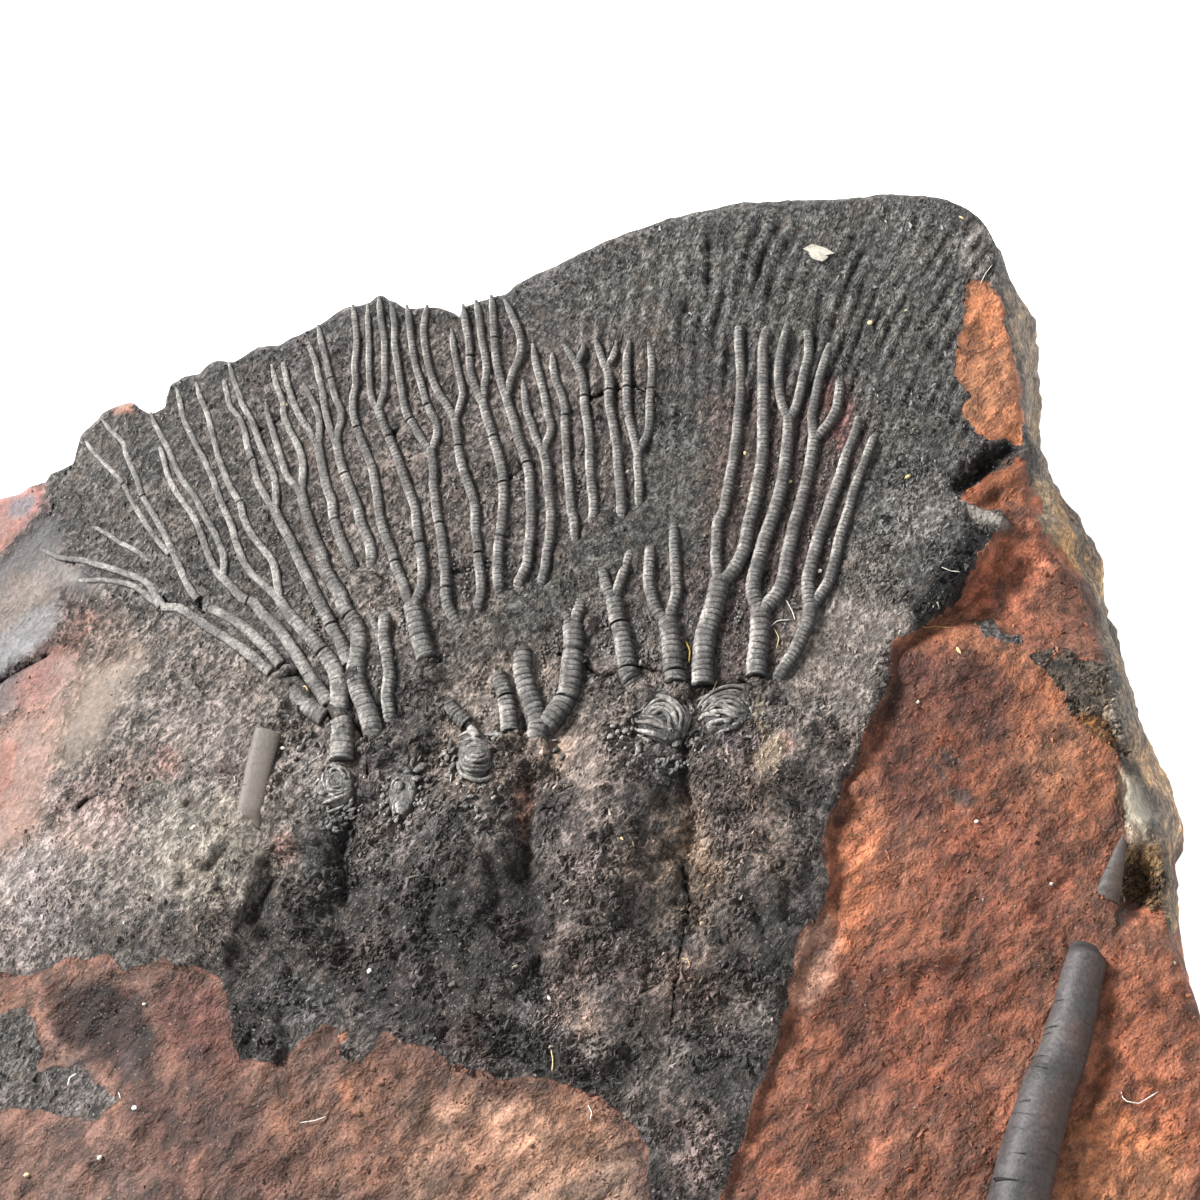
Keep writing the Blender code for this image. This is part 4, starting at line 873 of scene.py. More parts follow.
def face_height(x, y):
    """Height of the plain fossil face, by plan position."""
    column, row = to_sheet(x, y, FACE_HEIGHT)
    height = -LEFT_DIP * smooth((250.0 - column) / 330.0)
    for middle, level, across, along, rise, lean in MOUNDS:
        u = (column - middle) / across
        v = (row - level - lean * (column - middle)) / along
        height = height + rise * np.exp(-(u * u + v * v))
    rows, edge, drop = (np.array(values) for values in zip(*STEP_EDGE))
    past_edge = (column - np.interp(row, rows, edge)) / STEP_WIDTH
    height = height - np.interp(row, rows, drop) * smooth(past_edge)
    return FACE_HEIGHT + height * MM


def lay(column, row):
    """Plan position and height of drawn points on the face."""
    z = np.full(np.shape(column), FACE_HEIGHT)
    for _ in range(8):
        x, y = at_height(column, row, z)
        z = face_height(x, y)
    return x, y, z


# --- noise and masks -------------------------------------------------------------------------

TILE = np.random.RandomState(11).uniform(-1.0, 1.0, (256, 256))


def lattice(x, y, size, seed):
    """Soft noise between -1 and 1 with lumps of the given size."""
    u = x / size + 31.7 * seed
    v = y / size + 17.9 * seed
    i = np.floor(u).astype(int)
    j = np.floor(v).astype(int)
    f = smooth(u - i)
    g = smooth(v - j)
    low = TILE[i & 255, j & 255] * (1 - f) + TILE[(i + 1) & 255, j & 255] * f
    high = TILE[i & 255, (j + 1) & 255] * (1 - f) + TILE[(i + 1) & 255, (j + 1) & 255] * f
    return low * (1 - g) + high * g


def cloud(x, y, size, octaves, seed):
    """Noise with finer and finer lumps laid over each other."""
    total = 0.0
    for k in range(octaves):
        turn = 0.6 + 1.1 * k
        u = x * math.cos(turn) - y * math.sin(turn)
        v = x * math.sin(turn) + y * math.cos(turn)
        total = total + lattice(u, v, size / 2 ** k, seed + k) * 0.55 ** k
    return total


def line_distance(column, row, line):
    """Distance to a drawn line, and the nearest point on it."""
    best = np.full(np.shape(column), 1e9)
    near_c = np.array(column, dtype=float)
    near_r = np.array(row, dtype=float)
    for (ax, ay), (bx, by) in zip(line[:-1], line[1:]):
        dx, dy = bx - ax, by - ay
        t = np.clip(((column - ax) * dx + (row - ay) * dy) / (dx * dx + dy * dy), 0.0, 1.0)
        c, r = ax + t * dx, ay + t * dy
        away = np.hypot(column - c, row - r)
        closer = away < best
        best = np.where(closer, away, best)
        near_c = np.where(closer, c, near_c)
        near_r = np.where(closer, r, near_r)
    return best, near_c, near_r


def patch_mask(column, row, outline, softness):
    """1 well inside a drawn outline, 0 well outside it."""
    closed = outline + outline[:1]
    away = line_distance(column, row, closed)[0]
    inside = np.zeros(np.shape(column), dtype=bool)
    for (ax, ay), (bx, by) in zip(closed[:-1], closed[1:]):
        if ay == by:
            continue
        crosses = (ay > row) != (by > row)
        inside ^= crosses & (column < (bx - ax) * (row - ay) / (by - ay) + ax)
    return smooth(0.5 + 0.5 * np.where(inside, away, -away) / softness)


def linear(colour):
    """A 0-255 display colour as linear values."""
    share = np.array(colour, dtype=float) / 255.0
    return np.where(share <= 0.04045, share / 12.92, ((share + 0.055) / 1.055) ** 2.4)


# --- relief ----------------------------------------------------------------------------------

def swell(x, y):
    """Slow unevenness of the face, which arms and plates follow."""
    return (0.8 * cloud(x, y, 0.030, 2, 3) + 0.3 * cloud(x, y, 0.010, 2, 8)) * MM


def ground(x, y):
    """Height of the rock under arms, plates and debris."""
    return face_height(x, y) + swell(x, y)


def thick_bases():
    """Lower ends of the thick arms away from the clusters: column, row, direction, width in mm."""
    found = []
    domes = [cluster[0] for cluster in CLUSTERS.values()]
    for node, strands in ARMS.items():
        ends = [point for strand in strands for point in (strand[2][0], strand[2][-1])]
        for _, width, route in strands:
            (a, b), (c, d) = [point for point in route if point][-2:]
            joined = sum(math.hypot(c - u, d - v) < JOINED for u, v in ends) > 1
            crowded = any(math.hypot(c - dome[0], d - dome[1]) < 40 for dome in domes)
            if width > 2.0 and not joined and not crowded:
                run = math.hypot(c - a, d - b)
                found.append((c, d, (c - a) / run, (d - b) / run, width))
    return found


def cover(x, y, column, row):
    """Thickness of the rough rock that runs over the arms and stands against their cut bases."""
    thick = 0.0
    edge = 0.55 * cloud(x, y, 0.0035, 3, 181)
    for c, r, ahead, down, width in thick_bases():
        u = (column - c) * down - (row - r) * ahead
        v = (column - c) * ahead + (row - r) * down
        reach = np.hypot(u / (3.4 * width), (v - 11.0) / 10.0) + 0.5 * edge
        thick = np.maximum(thick, 0.46 * width * smooth((1.25 - reach) / 0.35))
    for middle, level, across, along, rise in COVERS:
        reach = np.hypot((column - middle) / across, (row - level) / along) + edge
        thick = np.maximum(thick, rise * smooth((1.15 - reach) / 0.5))
    return thick * (1.0 + 0.45 * cloud(x, y, 0.0022, 2, 185))


def creases(column, row):
    """Ridges and furrows along drawn lines, in mm."""
    height = np.zeros(np.shape(column))
    for rise, width, line in CREASES:
        reach = 2.5 * width
        columns, rows = (np.array(values) for values in zip(*line))
        near = ((column > columns.min() - reach) & (column < columns.max() + reach)
                & (row > rows.min() - reach) & (row < rows.max() + reach))
        away = line_distance(column[near], row[near], line)[0]
        height[near] += rise * np.exp(-(away / width) ** 2)
    return height


def rim_at(drawn, places, axis):
    """Place of one side of the rim at given columns (axis 0) or rows (axis 1)."""
    return np.interp(places, [point[axis] for point in drawn], [point[1 - axis] for point in drawn])


def furrowed(column, row):
    """Share of the furrowed back of the face."""
    return smooth((column - 540.0) / 60.0) * smooth((520.0 - row) / 160.0)


def flutes(x, y, column, row):
    """Close furrows that run up the back of the face, leaning to the right."""
    lean = 0.05 + 0.50 * smooth((column - 650.0) / 300.0)
    phase = (column + lean * (row - 330.0)) * 2 * math.pi / FLUTE_PITCH
    wave = np.sin(phase + 1.9 * cloud(x, y, 0.014, 2, 51))
    wave = 0.75 * wave * (0.7 + 0.5 * cloud(x, y * 0.3, 0.004, 2, 55)) + 0.35 * cloud(x, y, 0.004, 2, 57)
    back = rim_at(RIM_BACK, column, 0)
    return wave * furrowed(column, row) * smooth((row - back - 4.0) / 30.0)


def grain(x, y, column, row, red, polish):
    """Rough surface of the rock in metres: craggy grey rock, soft streaky lumps in the red rock."""
    def streaks(turn, stretch, size, seed):
        along = x * math.cos(turn) + y * math.sin(turn)
        across = -x * math.sin(turn) + y * math.cos(turn)
        return cloud(along / stretch, across, size, 3, seed)

    def crags(turn, stretch, size, seed):
        return 2.0 * np.abs(streaks(turn, stretch, size, seed)) - 0.7

    ledges = 1.0 - 2.0 * np.abs(streaks(0.70, 1.8, 0.012, 33))
    red_relief = (
        0.34 * streaks(0.80, 1.9, 0.0036, 21)
        + 0.55 * ledges
        + 0.45 * cloud(x, y, 0.016, 2, 37)
        + 0.10 * cloud(x, y, 0.0018, 2, 41))
    chipped = smooth((350.0 - column) / 60.0) * smooth((row - 600.0) / 70.0)
    calyx = smooth((row - 690.0) / 40.0) * smooth((column - 330.0) / 40.0)
    wander_c = column + 4.0 * cloud(x, y, 0.006, 2, 191)
    wander_r = row + 4.0 * cloud(x, y, 0.006, 2, 195)
    grey_relief = (
        0.24 * cloud(x, y, 0.0026, 2, 71)
        + 0.16 * cloud(x, y, 0.0014, 1, 77)
        + 0.72 * flutes(x, y, column, row)
        + chipped * (0.45 * crags(1.0, 2.4, 0.0036, 61) + 0.75 * streaks(0.95, 2.0, 0.007, 64))
        + calyx * (0.55 * crags(0.75, 1.5, 0.0044, 81) + 0.45 * cloud(x, y, 0.0080, 2, 85)))
    relief = red * (red_relief - 0.55) + (1.0 - red) * grey_relief
    relief = relief * (1.0 - 0.7 * polish) + creases(wander_c, wander_r) + cover(x, y, column, row)
    return relief * MM


def rock_colour(x, y, column, row):
    """Painted colours of grey and red rock, share of red rock and of washed surface."""
    wander_c = column + 5.0 * cloud(x, y, 0.010, 3, 91) + 3.0 * lattice(x, y, 0.0018, 92)
    wander_r = row + 5.0 * cloud(x, y, 0.010, 3, 95) + 3.0 * lattice(x, y, 0.0018, 96)
    grey = np.tile(linear((74, 71, 70)), (len(x), 1))
    red = np.tile(linear((140, 90, 70)), (len(x), 1))
    share_red = np.zeros(len(x))
    polish = np.zeros(len(x))
    for kind, tone, share, softness, outline in PATCHES:
        inside = patch_mask(wander_c, wander_r, outline, softness)
        mask = (inside * share)[:, None]
        tone = linear(tone)
        if kind != "r":
            grey = grey * (1.0 - mask) + tone * mask
        if kind != "g":
            red = red * (1.0 - mask) + tone * mask
        if kind == "r":
            share_red = np.maximum(share_red, inside)
        if kind == "g":
            share_red = share_red * (1.0 - inside)
        polish = np.maximum(polish, inside) if kind == "w" else polish * (1.0 - inside)
    streak = cloud((0.5 * x + 0.85 * y) / 4.0, 0.5 * y - 0.85 * x, 0.0045, 3, 115)
    # Pale streaks at the far left on the washed rock: partly the rock's own streaks, partly painted glare
    # where the face dips towards the window light.
    washed_and_glare = polish * np.clip(0.05 + 1.1 * streak, 0.0, 0.38) * smooth((200.0 - column) / 50.0)
    washed_and_glare = washed_and_glare[:, None]
    grey = grey * (1.0 - washed_and_glare) + linear((114, 104, 99)) * washed_and_glare
    red = red * (1.0 - washed_and_glare) + linear((118, 104, 98)) * washed_and_glare
    blotch = 1.0 + 0.20 * cloud(x, y, 0.014, 3, 101) + 0.14 * cloud(x, y, 0.004, 2, 105)
    warm = 0.16 * cloud(x, y, 0.009, 2, 111)[:, None] * np.array((1.0, 0.45, 0.0))
    lower = smooth((row - 700.0) / 50.0) * smooth((column - 300.0) / 60.0) * (1.0 - polish)
    mottle = 1.0 + lower * (0.08 + 0.60 * np.clip(1.6 * cloud(x, y, 0.0075, 3, 171), -1.0, 1.0))
    # Painted shade and light following the flutes: darker in their furrows, lighter on their ridges.
    furrow = 1.0 + 0.60 * flutes(x, y, column, row)
    lower = lower[:, None]
    warmth = 1.0 + (0.5 + 0.5 * lower) * np.maximum(warm, -0.03)
    grey = grey * (blotch * mottle * furrow)[:, None] * warmth
    grey = grey * (1.0 + lower * np.array((0.03, -0.03, -0.05)))
    ruddier = smooth((column - 690.0) / 60.0)[:, None] * np.array((-0.06, 0.07, 0.19))
    red = red * (0.82 * blotch)[:, None] * (1.0 + warm) * (1.0 - ruddier)
    return np.clip(grey, 0.004, 0.9), np.clip(red, 0.004, 0.9), share_red, polish


# --- meshes ----------------------------------------------------------------------------------

def set_values(mesh, name, values):
    """A named value or colour for each point of a mesh."""
    if np.ndim(values) == 1:
        layer = mesh.attributes.new(name, "FLOAT", "POINT")
        layer.data.foreach_set("value", np.asarray(values, dtype=np.float32))
        return
    rgba = np.concatenate((values, np.ones((len(values), 1))), axis=1).astype(np.float32)
    layer = mesh.attributes.new(name, "FLOAT_COLOR", "POINT")
    layer.data.foreach_set("color", rgba.ravel())


def add_piece(name, verts, faces, material, values, nodes=(), rounded=True):
    """A mesh piece in the frame's place, riding on the slab's body."""
    verts = np.asarray(verts, dtype=float) + SHIFT
    mesh = bpy.data.meshes.new(name)
    mesh.from_pydata(verts.tolist(), [], faces)
    mesh.update()
    for key, value in values.items():
        set_values(mesh, key, value)
    mesh.polygons.foreach_set("use_smooth", np.broadcast_to(rounded, len(mesh.polygons)).copy())
    mesh.materials.append(material)
    piece = bpy.data.objects.new(name, mesh)
    bpy.context.scene.collection.objects.link(piece)
    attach(piece, "root")
    if nodes:
        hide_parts(*nodes)


def run_length(line):
    """Length along a line up to each of its points."""
    return np.concatenate(([0.0], np.cumsum(np.linalg.norm(np.diff(line, axis=0), axis=1))))


def read_along(stops, run, table):
    """The columns of a table, given at the lengths run, read at the lengths stops."""
    return np.column_stack([np.interp(stops, run, values) for values in table.T])


def even_points(points, count):
    """The line through points, told again in evenly spaced ones."""
    run = run_length(points[:, :2])
    return read_along(np.linspace(0.0, run[-1], count), run, points)


def drawn_arrays(drawn):
    """The columns of a drawn table as arrays."""
    return [np.array(values, dtype=float) for values in zip(*drawn)]


def rim_side(drawn, cells, seed):
    """One side of the rim with its flare, roughened between its fixed ends."""
    columns, rows, flare = drawn_arrays(drawn)
    x, y, _ = lay(columns, rows)
    side = even_points(np.stack((x, y, flare * MM), axis=1), cells + 1)
    fade = np.sin(np.linspace(0.0, math.pi, cells + 1)) ** 0.3
    jag = cloud(side[:, 0], side[:, 1], 0.005, 3, seed) * 0.0005 * fade
    side[:, 0] += jag
    side[:, 1] += jag * 0.7
    return side


def face_grid(back, right, front, left):
    """Plan of the face: a grid stretched between the four sides of the rim."""
    s = np.linspace(0.0, 1.0, len(back))[None, :, None]
    t = np.linspace(0.0, 1.0, len(left))[:, None, None]
    across = (1 - s) * left[:, None, :2] + s * right[:, None, :2]
    along = (1 - t) * front[None, :, :2] + t * back[None, :, :2]
    corners = ((1 - s) * (1 - t) * front[0, :2] + s * (1 - t) * front[-1, :2]
               + (1 - s) * t * back[0, :2] + s * t * back[-1, :2])
    return across + along - corners


def outward(loop):
    """Directions in plan that point out of a closed line."""
    ahead = np.roll(loop, -2, axis=0) - np.roll(loop, 2, axis=0)
    normal = np.stack((ahead[:, 1], -ahead[:, 0]), axis=1)
    return normal / np.linalg.norm(normal, axis=1)[:, None]


def carve_cracks(plan, height):
    """Pull the nearest grid points onto each crack and sink them."""
    crack = np.zeros(len(plan))
    column, row = to_sheet(plan[:, 0], plan[:, 1], height)
    for line in CRACKS:
        wander = 1.2 * lattice(plan[:, 0], plan[:, 1], 0.0025, 7)
        away, near_c, near_r = line_distance(column, row, line)
        hit = away < CRACK_REACH
        x, y = at_height(near_c[hit] + wander[hit], near_r[hit], height[hit])
        plan[hit, 0] = x
        plan[hit, 1] = y
        height[hit] -= CRACK_DEPTH * MM
        crack[hit] = 1.0
    return crack


def face_rows(back, right, front, left):
    """Points of the face with its relief, their layers of colour, crack and furrow values."""
    plan = face_grid(back, right, front, left)
    rows, columns = plan.shape[:2]
    plan = plan.reshape(-1, 2)
    x, y = plan[:, 0], plan[:, 1]
    base = ground(x, y)
    column, row = to_sheet(x, y, base)
    layers = rock_colour(x, y, column, row)
    height = base + grain(x, y, column, row, *layers[2:])
    j, i = np.divmod(np.arange(len(plan)), columns)
    inset = np.minimum(np.minimum(i, columns - 1 - i), np.minimum(j, rows - 1 - j)) * 0.0008
    height = height - 0.0016 * np.exp(-inset / 0.0012)
    crack = carve_cracks(plan, height)
    index = np.arange(rows * columns).reshape(rows, columns)
    return np.column_stack((plan, height)), index, layers, crack, furrowed(column, row)


def wall_rings(rim, flare, position):
    """Rings of points down the broken wall, from below the rim to the underside."""
    kernel = np.hanning(2 * WALL_WEAR + 3)[1:-1]
    kernel = kernel / kernel.sum()
    wrapped = np.concatenate((rim[-WALL_WEAR:, :2], rim[:, :2], rim[:WALL_WEAR, :2]))
    worn = np.column_stack([np.convolve(wrapped[:, k], kernel, mode="valid") for k in range(2)])
    normal = outward(worn)
    right_side = smooth((rim[:, 0] - 0.06) / 0.02) * smooth((rim[:, 1] + 0.09) / 0.02)
    rings = []
    for level in range(1, WALL_RINGS + 1):
        share = level / WALL_RINGS
        depth = share * FACE_HEIGHT
        fade = min(1.0, 2.5 * share, 6.0 * (1.0 - share))
        bent = depth + 0.0015 * cloud(position, 0.0, 0.02, 2, 121)
        beds = 0.0011 * np.clip(2.2 * cloud(position * 0.12 + 1.0, bent, 0.0052, 3, 123), -1.0, 1.0)
        chips = 2.0 * np.abs(cloud(position, depth * 1.3, 0.014, 4, 131)) - 0.8
        rough = 0.0016 * chips + 0.0005 * cloud(position, depth, 0.003, 2, 135)
        ragged = 0.0005 * cloud(position, depth * 0.4, 0.0024, 2, 137)
        rough = (beds + rough) * (1.0 - 0.68 * right_side) + ragged * right_side
        spread = flare * math.sin(0.5 * math.pi * share) ** 0.75 + rough * fade
        xy = rim[:, :2] + (worn - rim[:, :2]) * (0.85 * smooth(1.6 * share)) + normal * spread[:, None]
        rings.append(np.column_stack((xy, rim[:, 2] * (1.0 - share))))
    return np.concatenate(rings)


def wall_faces(ring, picked, start):
    """Faces of the wall: the row that meets the face's edge, the rows below it, the underside."""
    count = len(picked)
    faces = []
    for k in range(count):
        top = [int(ring[(picked[k] + m) % len(ring)]) for m in range(WALL_MERGE + 1)]
        faces.append([start + k, start + (k + 1) % count] + top[::-1])
    for above in range(start, start + (WALL_RINGS - 1) * count, count):
        below = above + count
        for k in range(count):
            n = (k + 1) % count
            faces.append([above + k, below + k, below + n, above + n])
    last = start + (WALL_RINGS - 1) * count
    faces.append([last + k for k in range(count - 1, -1, -1)])
    return faces


def wall_colour(wall, around, rim_height):
    """Painted layers of the wall: bedded rock at the right, rough grey and rusty rock elsewhere."""
    column, row = to_sheet(wall[:, 0], wall[:, 1], wall[:, 2])
    grey, red, share_red, polish = rock_colour(around, wall[:, 2] * 2.0, column, row)
    hidden = smooth((wall[:, 1] - 0.02) / 0.03) * smooth((0.06 - wall[:, 0]) / 0.03)
    hidden = np.maximum(hidden, smooth((-0.085 - wall[:, 1]) / 0.02))
    hidden = np.maximum(hidden, smooth((-0.09 - wall[:, 0]) / 0.02))
    below = 1.0 - wall[:, 2] / rim_height
    hidden = hidden * smooth((below + 0.04 * cloud(around, wall[:, 2], 0.008, 2, 145)) / 0.22)
    band = np.clip(0.5 + 1.4 * cloud(around * 0.1, wall[:, 2], 0.006, 3, 141), 0.0, 1.0)[:, None]
    rust = np.clip(2.0 * cloud(around, wall[:, 2] * 2.5, 0.022, 3, 147), 0.0, 0.8)[:, None]
    plain = linear((92, 84, 78)) * (1.0 - band) + linear((120, 109, 97)) * band
    plain = plain * (1.0 - rust) + linear((134, 94, 74)) * rust
    strata = np.clip(2.4 * cloud(around * 0.4, wall[:, 2], 0.0042, 3, 149), -1.0, 1.0) * (1.0 - hidden)
    ochre = strata[:, None] * np.array((0.06, 0.0, -0.12)) + np.array((1.10, 1.0, 0.90))
    bedding = (1.2 + 0.60 * strata)[:, None] * ochre
    grey = grey * bedding * (1.0 - hidden)[:, None] + plain * hidden[:, None]
    return grey, red * bedding, share_red * (1.0 - hidden), polish * (1.0 - hidden)


def build_slab(material):
    """The slab: its face, its broken wall and the flat underside."""
    back = rim_side(RIM_BACK, CELLS_ACROSS, 1)
    front = rim_side(RIM_FRONT, CELLS_ACROSS, 2)
    right = rim_side(RIM_RIGHT, CELLS_ALONG, 3)[::-1]
    left = rim_side(RIM_LEFT, CELLS_ALONG, 4)[::-1]
    face, index, layers, crack, furrow = face_rows(back, right, front, left)
    quads = np.stack((index[:-1, :-1], index[:-1, 1:], index[1:, 1:], index[1:, :-1]), axis=-1)
    ring = np.concatenate((index[0], index[1:, -1], index[-1, -2::-1], index[-2:0:-1, 0]))
    flare = np.concatenate((front[:, 2], right[1:, 2], back[-2::-1, 2], left[-2:0:-1, 2]))
    picked = np.arange(0, len(ring), WALL_MERGE)
    rim = face[ring[picked]]
    position = np.cumsum(np.linalg.norm(np.diff(rim[:, :2], axis=0, prepend=rim[-1:, :2]), axis=1))
    wall = wall_rings(rim, flare[picked], position)
    faces = quads.reshape(-1, 4).tolist() + wall_faces(ring, picked, len(face))
    wall_layers = wall_colour(wall, np.tile(position, WALL_RINGS), np.tile(rim[:, 2], WALL_RINGS))
    bare = np.zeros(len(wall))
    names = ("grey_tint", "red_tint", "red", "polish", "crack", "furrow")
    on_face = (*layers, crack, furrow)
    on_wall = (*wall_layers, bare, bare)
    values = {name: np.concatenate(pair) for name, *pair in zip(names, on_face, on_wall)}
    verts = np.concatenate((face, wall))
    add_piece("rock", verts, faces, material, values, nodes=("matrix_slab",))


class Bars:
    """Gathers half-round bars and lumps and turns them into one piece."""

    def __init__(self):
        self.verts = []
        self.faces = []
        # side holds painted light: painted highlight where it is below zero, painted shade where it is
        # above; a low crest paints painted shade at the foot.
        self.values = {"joint": [], "crest": [], "side": [], "tone": []}
        self.flat = []
        self.size = 0

    def add(self, rings, joint, crest, side, tone):
        """rings: sections x points x 3, all closed loops; both ends are capped."""
        count, sides = rings.shape[:2]
        index = np.arange(count * sides).reshape(count, sides) + self.size
        turned = np.roll(index, -1, axis=1)
        quads = np.stack((index[:-1], turned[:-1], turned[1:], index[1:]), axis=-1).reshape(-1, 4)
        self.faces += quads.tolist()
        self.faces += [index[0, ::-1].tolist(), index[-1].tolist()]
        self.verts.append(rings.reshape(-1, 3))
        whole = np.zeros((count, sides))
        for key, value in zip(("joint", "crest", "side", "tone"), (joint, crest, side, tone)):
            self.values[key].append((whole + value).ravel())
        self.size += count * sides

    def lump(self, column, row, length, width, turn, shade, height, rng, lift=None):
        """An angular grain, half sunk in the rock; length and width in steps."""
        x, y, _ = lay(np.array([column]), np.array([row]))
        floor = ground(x, y) + (lift(x, y) if lift is not None else 0.0)
        sides = 7
        angle = np.linspace(0.0, 2 * math.pi, sides, endpoint=False) + rng.uniform(0.0, 1.0)
        ragged = rng.uniform(0.72, 1.15, sides)
        tilt = rng.uniform(-0.35, 0.35, 2)
        turn = math.radians(turn)
        rings = np.empty((4, sides, 3))
        for k, (level, share) in enumerate(((-0.9, 1.0), (0.15, 1.0), (0.75, 0.78), (1.0, 0.4))):
            u = np.cos(angle) * ragged * share
            v = np.sin(angle) * ragged * share
            long, wide = u * length * HALF_STEP, v * width * HALF_STEP
            rings[k, :, 0] = x + long * math.cos(turn) - wide * math.sin(turn)
            rings[k, :, 1] = y + long * math.sin(turn) + wide * math.cos(turn)
            rings[k, :, 2] = floor + (level + (tilt[0] * u + tilt[1] * v) * (k > 0)) * height * MM
        self.flat.append((len(self.faces), 3 * sides + 2))
        # Painted light on each grain: lighter on its left part (painted highlight), darker on its right
        # part and towards its foot (painted shade).
        painted_light_across = rings[..., 0] - float(x[0])
        painted_light_across = 1.1 * painted_light_across / np.abs(painted_light_across).max() + 0.15
        self.add(rings, 0.0, np.array([0.0, 0.4, 0.9, 1.0])[:, None], painted_light_across, shade)

    def piece(self, name, material, slot, nodes=()):
        """One mesh of all that was gathered; lumps keep their flat faces."""
        values = {key: np.concatenate(value) for key, value in self.values.items()}
        rounded = np.ones(len(self.faces), dtype=bool)
        for first, count in self.flat:
            rounded[first:first + count] = False
        add_piece(name, np.concatenate(self.verts), self.faces, material, values, nodes, rounded)


def route_line(route):
    """Dense plan positions along a soft curve through drawn points, and the lengths at its breaks."""
    x, y, _ = lay(*drawn_arrays(point for point in route if point))
    knots = np.column_stack((x, y))
    ends = np.vstack((2 * knots[0] - knots[1], knots, 2 * knots[-1] - knots[-2]))
    parts = 12
    t = np.linspace(0.0, 1.0, parts, endpoint=False)[:, None]
    fine = []
    for a, b, c, d in zip(ends[:-3], ends[1:-2], ends[2:-1], ends[3:]):
        square = (2 * a - 5 * b + 4 * c - d) * t * t
        cube = (3 * b - a - 3 * c + d) * t ** 3
        fine.append(0.5 * (2 * b + (c - a) * t + square + cube))
    fine = np.vstack(fine + [knots[-1:]])
    run = run_length(fine)
    breaks = []
    passed = 0
    for point in route:
        if point is GAP:
            breaks.append((run[(passed - 1) * parts] + run[passed * parts]) / 2)
        else:
            passed += 1
    stops = np.arange(0.0, run[-1], ROUTE_STEP)
    return stops, read_along(stops, run, fine), breaks


def direction(line):
    """Unit direction of a line at each of its points."""
    ahead = np.gradient(line, axis=0)
    return ahead / np.linalg.norm(ahead, axis=1)[:, None]


def profile(sides, square):
    """Half-round section with its foot under the rock: across (-1 to 1), up (0 to 1), crest value."""
    angle = np.linspace(math.pi, 0.0, sides)
    across = np.sign(np.cos(angle)) * np.abs(np.cos(angle)) ** square
    up = np.abs(np.sin(angle)) ** square
    across = np.concatenate((across, (0.92, -0.92)))
    up = np.concatenate((up, (-1.0, -1.0)))
    return across, up, np.clip(up, 0.0, 1.0)


def add_bar(bars, route, tip, base, rise, rng, ring=0.52, ring_gain=0.16, groove=0.11, lift=None,
            sides=ARM_SIDES, start="thin", end="cut", tone=None, soft=0.0):
    """One ringed bar along a route; a break in the route parts it.

    An end is cut, thin (drawn out to a tip), or sunk (slides under the rock).
    """
    stops, line, breaks = route_line(route)
    total = stops[-1]
    side = direction(line)
    side = np.column_stack((side[:, 1], -side[:, 0]))
    floor = ground(line[:, 0], line[:, 1])
    if lift is not None:
        floor = floor + lift(line[:, 0], line[:, 1])
    kernel = np.ones(9) / 9.0
    floor = np.convolve(np.pad(floor, 4, mode="edge"), kernel, mode="valid")
    across, up, crest = profile(sides, 0.82)
    tone = rng.uniform(0.0, 1.0) if tone is None else tone
    ends = [0.0] + breaks + [total]
    for first, last in zip(ends[:-1], ends[1:]):
        first = first + (BREAK_HALF if first > 0 else 0.0)
        last = last - (BREAK_HALF if last < total else 0.0)
        sections = []
        s = first
        while s < last:
            width_here = tip + (base - tip) * s / total
            step = (ring + ring_gain * width_here) * MM * rng.uniform(0.75, 1.25)
            tilt = rng.uniform(-0.16, 0.16)
            depth = rng.uniform(0.6, 1.0)
            for part in RING_SECTIONS:
                if s + part * step < last:
                    sections.append((s + part * step, 0.0 if part else depth, tilt))
            s += step
        stations, joints, leans = np.array(sections + [(last, 0.5, 0.0)]).T
        if len(stations) < 2:
            continue
        centre = read_along(stations, stops, line)
        normal = read_along(stations, stops, side)
        forward = np.column_stack((-normal[:, 1], normal[:, 0]))
        width = (tip + (base - tip) * stations / total) * MM
        sunk = np.zeros(len(stations))
        for style, distance in ((start, stations), (end, total - stations)):
            near = 1.0 - smooth(distance / END_TAPER)
            if style == "thin":
                width = width * (1.0 - 0.5 * near)
                sunk = sunk + near * 0.0003
            if style == "sunk":
                sunk = sunk + near * (rise * width + 0.0002)
        slim = (0.35 + 0.65 * smooth((width / MM - 1.2) / 1.8)) * (1.0 - 0.8 * soft)
        depth = np.minimum(groove * width, 0.00036) * joints * slim
        swell_here = rng.normal(0.0, 1.0, len(stations)) * np.minimum(0.010 * width, 0.00003)
        half = width / 2 - depth * 0.6 + swell_here * 0.5
        high = rise * width - depth + swell_here
        shifted = centre + normal * rng.normal(0.0, 0.00004)
        rings = np.empty((len(stations), len(across), 3))
        bow = 0.10 * half[:, None] * (1.0 - across[None, :] ** 2)
        lean = (leans[:, None] * across[None, :] * half[:, None] - bow)[..., None]
        plan = shifted[:, None, :] + normal[:, None, :] * (across * half[:, None])[..., None]
        rings[..., :2] = plan + forward[:, None, :] * lean
        level = (np.interp(stations, stops, floor) - sunk)[:, None]
        rings[..., 2] = level + np.where(up >= 0, up * high[:, None], -SKIRT)
        # Painted light across the bar: below zero on the flank facing the window light (painted
        # highlight), above zero on the far flank (painted shade); soft flattens it.
        painted_light_side = (0.92 * normal[:, :1] - 0.45 * normal[:, 1:]) * across * (1.0 - 0.4 * soft)
        bars.add(rings, joints[:, None] * (1.0 - 0.9 * soft), crest, painted_light_side, tone)


